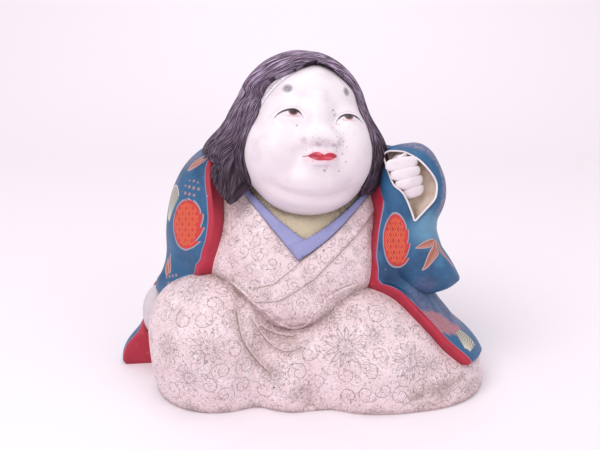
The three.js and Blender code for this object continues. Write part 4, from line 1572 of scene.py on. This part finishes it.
# %% Coat
def coat_ground(brush):
    """Teal brushed a little unevenly, worn pale where the far sides catch dust."""
    brush.lay("#2c618b")
    brush.lay("#1b4870", brush.noise(22, 3).step(0.42, 0.68) * 0.8)
    brush.lay("#4a86ae", brush.noise(13, 4, stretch=(1, 1, 0.6)).step(0.55, 0.78) * 0.7)
    brush.lay("#3f86a0", brush.noise(3.2, 3).step(0.55, 0.8) * 0.35)
    brush.raise_by(brush.noise(1.1, 2) * 0.1 + brush.noise(4, 2) * 0.12)


def coat_mist_and_painted_light(brush):
    """Pinkish grey mist, speckled on at the crown of the raised sleeve and on the left thigh. Painted shade darkens the
    lower left of the raised sleeve and a painted highlight lightens its right.
    """
    x, y, z = brush.xyz()
    cloud = brush.noise(2.6, 4).step(0.42, 0.66)
    for middle, radius, colour, share in (
        ((88, -18, 142), 17, "#a58a98", 0.75), ((93, -22, 122), 12, "#9e94a8", 0.5),
        ((78, -48, 62), 18, "#8d88a6", 0.75), ((100, -30, 48), 22, "#8a86a4", 0.6), ((-72, -10, 146), 14, "#a08c96", 0.6), ((-84, -8, 128), 12, "#8f8698", 0.5),
    ):  # fmt: skip
        away = length(length(x - middle[0], y - middle[1]), z - middle[2])
        brush.lay(colour, away.step(radius, radius * 0.35) * (cloud * 0.6 + 0.4) * share)
    # painted shade on the lower left of the raised sleeve, then a painted highlight on its right
    brush.lay("#123a63", length((x - 58) / 15, (z - 80) / 20).step(1.1, 0.3) * y.step(-20, -30) * 0.75)
    brush.lay("#7fb4cf", length((x - 80) / 17, (z - 107) / 16).step(1.1, 0.2) * y.step(-10, -20) * 0.55)
    crown = length((x - 66) / 21, (z - 132) / 23).step(0.97, 1.06) * x.step(58, 66) * z.step(110, 124) * y.step(0, -12)
    brush.lay("#9a8496", crown * (cloud * 0.6 + 0.3) * 0.85)
    brush.lay("#c9bccf", crown * brush.noise(1.6, 2).step(0.58, 0.7) * 0.5)


def coat_border(brush):
    """The red border: a width that is small at her left and grows downwards there, and a lilac line."""
    edge = brush.uv("Field")[0]
    x, _, z = brush.xyz()
    left = x.step(-1, 1)
    width = 3.6 + left * (z.step(76, 50) * 3.0 - 2.9)
    red = (edge - width).step(0.25, -0.25)
    brush.lay("#9a93b8", on_line(edge - width - 0.3, 0.6) * 0.8)
    brush.lay("#b6283f", red)
    brush.lay("#8f1a32", red * brush.noise(10, 3).step(0.5, 0.8) * 0.5)
    brush.lay("#dd5a66", red * brush.noise(6, 3).step(0.6, 0.8) * 0.5)
    # darker in the recesses, by ambient occlusion
    recess_dark = brush.hollow(7, 0.3, 0.8)
    brush.lay("#3c2f3c", recess_dark * 0.45)
    brush.lay("#d9cfd6", brush.specks(11, 0.5) * 0.5)


def coat_finish(name, motif=None):
    brush = Brush(name)
    coat_ground(brush)
    coat_mist_and_painted_light(brush)
    if motif is not None:
        motif(brush, *brush.uv("Pattern"))
    coat_border(brush)
    brush.done(0.5)


def cone(brush, u, v):
    """A pine cone: an oval that narrows downwards, with a few scales that notch its right side, filled
    with outlined diamonds. Diamonds are where two slanting saws are both small."""
    notch = saw(v / 8.5 + 0.2) * u.step(0, 5) * v.step(10, 4) * 2.4
    inside = (1 - length(u / 10.6, v / (15.8 + u * 0.12))) * 11 + notch
    slant_a, slant_b = saw((u * 0.82 + v * 0.57) / 3.8), saw((v * 0.57 - u * 0.82) / 3.8)
    diamond = higher(abs(slant_a), abs(slant_b))
    lattice = on_line((diamond - 0.36) * 3.8, 0.42, 0.12) * inside.step(1.4, 1.9) * (u - v * 0.1).step(8, 7)
    brush.lay("#a39aaa", on_line(inside, 0.8))
    brush.lay("#cb3a36", inside.step(0.3, 0.6))
    brush.lay("#b02a30", inside.step(0.3, 0.6) * brush.noise(5, 2).step(0.5, 0.7) * 0.6)
    brush.lay("#e8834a", lattice * 0.8)
    brush.raise_by(inside.step(0.2, 0.8) * 0.08)


def leaf_shapes(brush, u, v, blades, wide):
    """Bamboo leaves from one root: along each, the half width is the sine of the share of the length."""
    for angle, long in blades:
        c, s = math.cos(math.radians(angle)), math.sin(math.radians(angle))
        share = (u * c + v * s) / long
        across = v * c - u * s
        within = share.step(0.0, 0.04) * share.step(1.0, 0.97)
        half = (lower(higher(share, 0.0), 1.0).math("POWER", 0.8) * math.pi).math("SINE") * wide
        rim = abs(across) - half
        brush.lay("#b0705f", rim.step(0.2, -0.2) * within)
        brush.lay("#d09c90", on_line(across - half * 0.4, 0.4) * within * 0.8)
        brush.lay("#8a5350", on_line(across + half * 0.35, 0.4) * within * 0.7)
        brush.lay("#cfa9a6", on_line(rim, 0.5) * within)


def leaves(brush, u, v):
    leaf_shapes(brush, u, v, ((192, 13.5), (250, 21), (304, 27)), 2.3)


def leaf(brush, u, v):
    leaf_shapes(brush, u, v + 9, ((82, 18), (98, 16)), 1.9)


def spray(brush, u, v):
    """Rows of small round blossoms: a ring and a dot in each square of a grid, moved every other row."""
    patch = length(u / 9.5, v / 9).step(1.05, 0.9)
    row = v / 5.2
    odd = (row.math("FLOOR") * 0.5).math("FRACT")
    away = length(saw(u / 4.7 + odd) * 4.7, saw(row) * 5.2)
    petal = away.step(1.65, 1.25)
    brush.lay("#9b7f8e", petal * patch * brush.noise(6, 1).step(0.3, 0.5) * 0.85)
    brush.lay("#d8b9b2", away.step(0.6, 0.35) * patch * 0.8)
    brush.lay("#84635f", on_line(away - 1.3, 0.35) * patch * 0.6)


def fan(brush, u, v):
    """A ribbed fan: ribs are a saw of the angle, between an inner and an outer arc."""
    radius = length(u, v + 11)
    angle = u.math("ARCTAN2", v + 11)
    sheet = radius.step(4, 4.6) * radius.step(20.5, 20) * abs(angle).step(0.62, 0.58)
    ribs = on_line(saw(angle * 7.5) * radius * 0.13, 0.75)
    brush.lay("#8b8878", sheet * 0.85)
    brush.lay("#d8d2c0", ribs * sheet)
    brush.lay("#cfc6c4", on_line(radius - 20, 0.7) * abs(angle).step(0.62, 0.58))


def pine(brush, u, v):
    """A pine branch, nearly worn off: a long oval of fine slanting needles in salmon on grey."""
    inside = (1 - length(u / 14.5, v / 6.5)) * 6.5 + saw(u / 5) * 1.6
    needles = on_line(saw((u * 0.45 + v + brush.noise(5, 1) * 3) / 1.7) * 1.7, 0.55)
    brush.lay("#b06a74", inside.step(0.0, 0.8) * 0.8)
    brush.lay("#d29a98", inside.step(0.3, 0.8) * needles * 0.8)
    brush.lay("#8e8198", on_line(inside, 0.8) * 0.6)


coat_finish("coat_plain")
for name, motif in (("cone", cone), ("leaves", leaves), ("leaf", leaf), ("spray", spray), ("fan", fan), ("pine", pine)):
    coat_finish(f"coat_{name}", motif)

# %% [markdown]
# ## Face, hair and hand
#
# The face is near white with a soft gloss. The drawing on it is set by the face's own coordinates in
# millimetres: dark lids as arcs of ellipses, brown irises under them, two soft smudges for brows high
# on the forehead, red lips, and the brush marks where the hairline meets a white band.


# %% Face
def white_ground(brush):
    brush.lay("#f0e8ed")
    brush.lay("#e2d3dc", brush.noise(12, 3).step(0.45, 0.7) * 0.6)
    brush.raise_by(brush.noise(1.6, 2) * 0.05)


def eye(brush, x, z, middle, half, up, iris):
    """One eye: the lid line is an ellipse's upper arc, thicker at its top. The iris hangs from it like
    a bowl, nearly black above and brown below, with a pink streak under it."""
    (mx, mz), (left, right) = middle, half
    side = x - mx
    wide = lower(side, 0.0) / left + higher(side, 0.0) / right
    bow = length(wide, (z - mz) / up)
    under_lid = bow.step(1.02, 0.98)
    upper = z.step(mz + up * 0.3, mz + up * 0.42)
    brush.lay("#d9d0de", bow.step(1.0, 0.96) * z.step(mz + up * 0.35, mz + up * 0.6) * 0.5)
    away = length((x - iris[0]) / 1.12, z - iris[1])
    brush.lay("#dcb4ba", length((x - iris[0]) / 5.2, (z - iris[1] + 3.0) / 1.0).step(1.1, 0.5) * 0.7)
    brush.lay("#8a5d5c", away.step(2.9, 2.3) * under_lid)
    brush.lay("#33201f", away.step(2.4, 1.2) * under_lid)
    thick = 0.34 + z.step(mz + up * 0.5, mz + up) * 1.0
    lid = abs(bow - 1) * up
    brush.lay("#2b2228", lid.step(thick * 0.5 + 0.16, thick * 0.5 - 0.16) * upper)
    brush.lay("#a797a4", on_line(bow * up - up * 1.25, 0.5) * upper * 0.25)


def face_paint():
    brush = Brush("face_white")
    white_ground(brush)
    x, z = brush.uv("Pattern")
    eye(brush, x, z, (-15.8, 1.6), (11.2, 6.9), 8.5, (-15.2, 9.0))
    eye(brush, x, z, (19.4, 0.4), (9.4, 8.6), 8.2, (18.4, 7.6))
    for bx, bz, wide, tall in ((-18.2, 23.6, 3.4, 3.2), (18.4, 24.4, 2.4, 3.6)):
        smudge = length((x - bx) / wide, (z - bz) / tall).step(1.2, 0.35)
        brush.lay("#77727d", smudge * (brush.noise(1.4, 2).step(0.2, 0.7) * 0.25 + 0.7))
    # painted shade: the face darkens towards the chin
    brush.lay("#d9c8d2", z.step(2, -36) * 0.38)
    lips(brush, x, z)
    hairline(brush, x, z)
    # painted shade under the nose, darkest at the nostrils, and beside the wings of the nose
    brush.lay("#cdbdc6", length((x - 1) / 11, (z + 11.6) / 3.8).step(1.15, 0.2) * 0.6)
    for mx in (-1.3, 8.0):
        brush.lay("#a3949c", length((x - mx) / 2.4, (z + 12.4) / 1.3).step(1.2, 0.2) * 0.6)
    for mx, mz in ((-10.2, -9.6), (11.0, -11.0)):
        brush.lay("#b3a4ad", length(x - mx, (z - mz) * 0.6).step(2.4, 0.2) * 0.5)
    # painted shade in the crease over the double chin, and a painted highlight below it
    fold = z + 42 - (x + 3) * (x + 3) * 0.0135
    brush.lay("#cdb9c2", on_line(fold, 1.0, 1.6) * abs(x).step(30, 16) * 0.6)
    brush.lay("#fbf3f7", on_line(fold + 4.5, 1.4, 1.8) * abs(x).step(26, 12) * 0.5)
    dusty = higher(length((x - 11) / 12, (z - 1) / 14).step(1.0, 0.4), length((x - 3) / 19, (z + 14) / 17).step(1.0, 0.5) * 0.6)
    brush.lay("#86706c", brush.specks(2.0, 0.7) * dusty * brush.noise(6, 2).step(0.3, 0.45) * 0.6)
    for mx, mz, wide in ((-13.4, -0.2, 1.1), (2.4, -27.6, 1.3), (8.6, 10.4, 1), (9.4, 7.4, 1), (13.6, -16.6, 0.8), (16, -21, 0.7), (11.5, -27, 0.8)):
        brush.lay("#8a7472", length(x - mx, z - mz).step(wide, wide * 0.4) * 0.6)
    # painted shade in the hollows, under the chin most of all
    brush.lay("#8f7f86", brush.hollow(8, 0.25, 0.75) * 0.55)
    brush.done(0.36, rough_by=brush.noise(5, 2) * 0.12 + 0.32)


def lips(brush, x, z):
    """The lips: above a slanting line stand two bows that meet in a dip, below it hangs one flat bow.
    Towards her right they end in a thin dark line."""
    rise = z + 19.4 - (x + 10.2) * 0.048
    left, right, low = (x + 3.0) / 4.7, (x - 6.2) / 4.5, abs(x - 1.2) / 8.9
    top = rise - higher(1.9 * (1 - left * left), 1.6 * (1 - right * right))
    bottom = rise + 3.2 * (1 - low * low * low)
    brush.lay("#f3ccd6", length((x - 0.5) / 12, (rise + 0.6) / 5).step(1.05, 0.55) * 0.8)
    inside = higher(top, -bottom).step(0.35, -0.3)
    brush.lay("#c42d42", inside)
    brush.lay("#a3213c", inside * length((x + 4) / 4, (rise + 0.3) / 1.6).step(1.2, 0.3) * 0.8)
    brush.lay("#f07f92", inside * length((x + 1.2) / 2.6, (rise - 0.6) / 0.9).step(1.2, 0.2) * 0.6)
    brush.lay("#ee7484", inside * length((x - 4.6) / 4.5, (rise + 1.7) / 1.0).step(1.2, 0.2) * 0.6)
    brush.lay("#8e3a40", inside * length((x - 8.6) / 2.4, rise / 1.1).step(1.2, 0.3) * 0.6)
    brush.lay("#7d3a50", on_line(rise, 0.6, 0.2) * abs(x + 8.6).step(2.4, 1.4) * 0.8)
    brush.lay("#8a5a4c", on_line(bottom, 0.4, 0.3) * abs(x + 1.4).step(3, 1.5) * 0.5)
    brush.lay("#b7a4ad", on_line(rise + 6.3 - x * x * 0.02, 0.8, 0.7) * abs(x - 1).step(7, 4) * 0.5)


def hairline(brush, x, z):
    """The band at the hairline lies above a curve at her right and a slanting line at her left: it is
    ruled with three grey lines and hatched with short black strokes."""
    d = 3.6 - x
    sixth = (d * d * d) * (d * d * d)
    right = (z - 43.2 + d * 0.38 + d * d * 0.0073 + sixth * 2.2e-9) / (abs(d) * 0.03 + 1.1)
    left = (z - 42.3 + (x - 7.8) * 1.33) * 0.6
    above = higher(right, left)
    brush.lay("#f6f0f6", above.step(-0.2, 0.2))
    for rise, share in ((0.0, 0.8), (1.6, 0.6), (3.0, 0.6)):
        brush.lay("#857d88", on_line(above - rise, 0.35) * share)
    stroke = saw((x * 0.8 + z * 0.75 + above) / 1.7 + brush.noise(2.2, 1) * 1.6) * 1.7
    where = above.step(0.5, 1.0) * brush.noise(2.6, 1).step(0.42, 0.54) * (right - left).step(-4, 0)
    brush.lay("#2e262c", on_line(stroke, 0.38) * where * 0.85)


face_paint()


# %% Hair, hand, collars and the rest
def hair_paint():
    """Dark plum, streaked along the strands by noise whose lumps are long along them and thin across. The lighter
    clouds and pale streaks are painted highlights, stronger towards the top of the head; the dark streaks are painted
    shade in the grooves, and painted shade fills the hollows.
    """
    brush = Brush("hair_dark")
    across, down = brush.uv("Field")
    # painted light: the highlights laid below grow stronger towards the top of the head
    high = brush.xyz()[2].step(140, 205) * 0.85 + 0.15
    brush.lay("#22101e")
    streak = brush.noise_on(across * 1.0, down * 0.06, 0.8, 3)
    brush.lay("#6d5269", brush.noise_on(across * 1.0, down * 0.05, 2.2, 2).step(0.38, 0.6) * high)
    # painted highlights along the strands
    brush.lay("#cdb9d8", streak.step(0.44, 0.66) * high)
    # painted shade along the strands
    brush.lay("#130810", streak.step(0.47, 0.3) * 0.85)
    # painted shade in the hollows, under the ledge most of all
    brush.lay("#150c12", brush.hollow(6, 0.3, 0.85) * 0.6)
    brush.raise_by(streak * 0.5 + brush.noise_on(across * 1.0, down * 0.1, 1.3, 2) * 0.5)
    brush.done(0.5, shine=0.28)


def hand_paint(name):
    brush = Brush(name)
    white_ground(brush)
    brush.lay("#b39a8c", brush.hollow(4, 0.35, 0.9) * 0.55)
    brush.lay("#7d6052", brush.specks(3.5, 0.35) * 0.6)
    brush.done(0.42)


def plain_paint(name, colour, shade, light, recess_dark, rough, specks=0.5, edged=False):
    """A single colour with clouds of a darker and a lighter one, specks, and a darker colour in its recesses. An
    edged one has a broken dark line along its edges."""
    brush = Brush(name)
    brush.lay(colour)
    brush.lay(shade, brush.noise(8, 3).step(0.45, 0.7) * 0.6)
    brush.lay(light, brush.noise(4, 3).step(0.55, 0.78) * 0.6)
    brush.lay("#6a5648", brush.specks(2.0, 0.36) * specks)
    # darker in the recesses, by ambient occlusion
    brush.lay(recess_dark, brush.hollow(6, 0.35, 0.9) * (brush.noise(1.6, 3).step(0.3, 0.7) * 0.6 + 0.3))
    if edged:
        edge = brush.uv("Field")[0]
        brush.lay("#33324a", edge.step(0.9, 0.35) * brush.noise(1.6, 2).step(0.35, 0.55) * 0.8)
        brush.lay("#2b2a3c", brush.specks(2.2, 0.5) * edge.step(2.6, 1.2) * 0.8)
    brush.raise_by(brush.noise(1.2, 2) * 0.12)
    brush.done(rough)


hair_paint()
hand_paint("hand_white")
hand_paint("sleeve_rim")
plain_paint("collar_blue", "#9598c6", "#8488b8", "#a5a9d4", "#3c4468", 0.55, 0.25, edged=True)
plain_paint("neck_clay", "#c9bda2", "#b8a98c", "#d8cdb6", "#54483a", 0.7, 0.9)
plain_paint("cuff_grey", "#d6ccd2", "#c3b6be", "#e4dce2", "#8d7d80", 0.6)
plain_paint("sleeve_inside", "#decdbf", "#c4ae98", "#ecdfd6", "#8d7660", 0.7, 0.7)
plain_paint("bare_foot", "#cdbfae", "#b9a793", "#dacfc0", "#8d7d6c", 0.8, 0.8)

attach(figure, "root")
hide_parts("otafuku_figure")

# %% [markdown]
# ## Floor, light and camera
#
# The photo is a high-key one: a pinkish white table that runs into the wall, soft light from above
# and from the viewer's upper left, and hardly a shadow. A big curved sweep and wide area lamps give that.

# %% Floor
LOW, HIGH = (Vector(corner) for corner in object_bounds())
FLOOR_FRONT, FLOOR_BACK, FLOOR_RISE, FLOOR_WIDE = -2.2, 2.4, 2.2, 3.4


def sweep(rows=60, columns=3):
    """A floor that runs back flat and then bends up: a quarter circle joins the two."""
    radius = 1.4
    flat = np.linspace(FLOOR_FRONT, FLOOR_BACK - radius, rows // 3)
    turn = np.linspace(0, np.pi / 2, rows // 3)
    y = np.concatenate([flat, FLOOR_BACK - radius + radius * np.sin(turn), np.full(rows // 3, FLOOR_BACK)])
    z = np.concatenate([0 * flat, radius * (1 - np.cos(turn)), np.linspace(radius, radius + FLOOR_RISE, rows // 3)])
    x = np.linspace(-FLOOR_WIDE, FLOOR_WIDE, columns)
    return np.stack(np.broadcast_arrays(x, y[:, None], z[:, None]), -1)


floor_points = sweep()
floor_mesh = bpy.data.meshes.new("floor")
floor_index = np.arange(floor_points.shape[0] * floor_points.shape[1]).reshape(floor_points.shape[:2])
floor_mesh.from_pydata(floor_points.reshape(-1, 3), [], corners(floor_index[..., None]).reshape(-1, 4))
floor_mesh.shade_smooth()
floor = bpy.data.objects.new("floor", floor_mesh)
bpy.context.scene.collection.objects.link(floor)
floor_paint = bpy.data.materials.new("floor_paint")
floor_paint.use_nodes = True
shader = floor_paint.node_tree.nodes["Principled BSDF"]
shader.inputs["Base Color"].default_value = (0.93, 0.885, 0.93, 1)
shader.inputs["Roughness"].default_value = 0.75
floor_mesh.materials.append(floor_paint)
floor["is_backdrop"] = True


# %% Lights
def lamp(name, place, target, size, power, colour):
    data = bpy.data.lights.new(name, "AREA")
    data.shape, data.size, data.energy, data.color = "DISK", size, power, colour
    thing = bpy.data.objects.new(name, data)
    thing.location = place
    thing.rotation_euler = (Vector(target) - Vector(place)).to_track_quat("-Z", "Y").to_euler()
    bpy.context.scene.collection.objects.link(thing)


lamp("key", (-0.75, -1.0, 1.5), (0, 0, 0.1), 1.0, 15, (1.0, 0.97, 0.985))
lamp("fill", (1.1, -1.1, 0.9), (0, 0, 0.1), 1.4, 4, (1.0, 0.96, 0.99))
lamp("top", (0.1, 0.5, 1.9), (0, 0, 0.1), 1.4, 8, (1.0, 0.98, 1.0))
lamp("wall", (0, 0.9, 1.3), (0, 2.4, 1.0), 1.4, 5.5, (1.0, 0.96, 1.0))
world = bpy.data.worlds.new("studio")
world.use_nodes = True
world.node_tree.nodes["Background"].inputs["Color"].default_value = (1.0, 0.955, 0.985, 1)
world.node_tree.nodes["Background"].inputs["Strength"].default_value = 0.6
bpy.context.scene.world = world
bpy.context.scene.view_settings.view_transform = "Standard"

# %% [markdown]
# The camera stands a little above the figure and looks down by 16 degrees, straight from the front.

# %% Camera
LOOK_AT = to_frame((-1.3, 0, 97))
LOOK_DOWN, AWAY = math.radians(16), 0.657
camera_data = bpy.data.cameras.new("camera")
camera_data.lens, camera_data.sensor_width = 60, 36
camera = bpy.data.objects.new("camera", camera_data)
camera.location = Vector(LOOK_AT) + AWAY * Vector((0, -math.cos(LOOK_DOWN), math.sin(LOOK_DOWN)))
camera.rotation_euler = (math.pi / 2 - LOOK_DOWN, 0, 0)
bpy.context.scene.collection.objects.link(camera)
bpy.context.scene.camera = camera
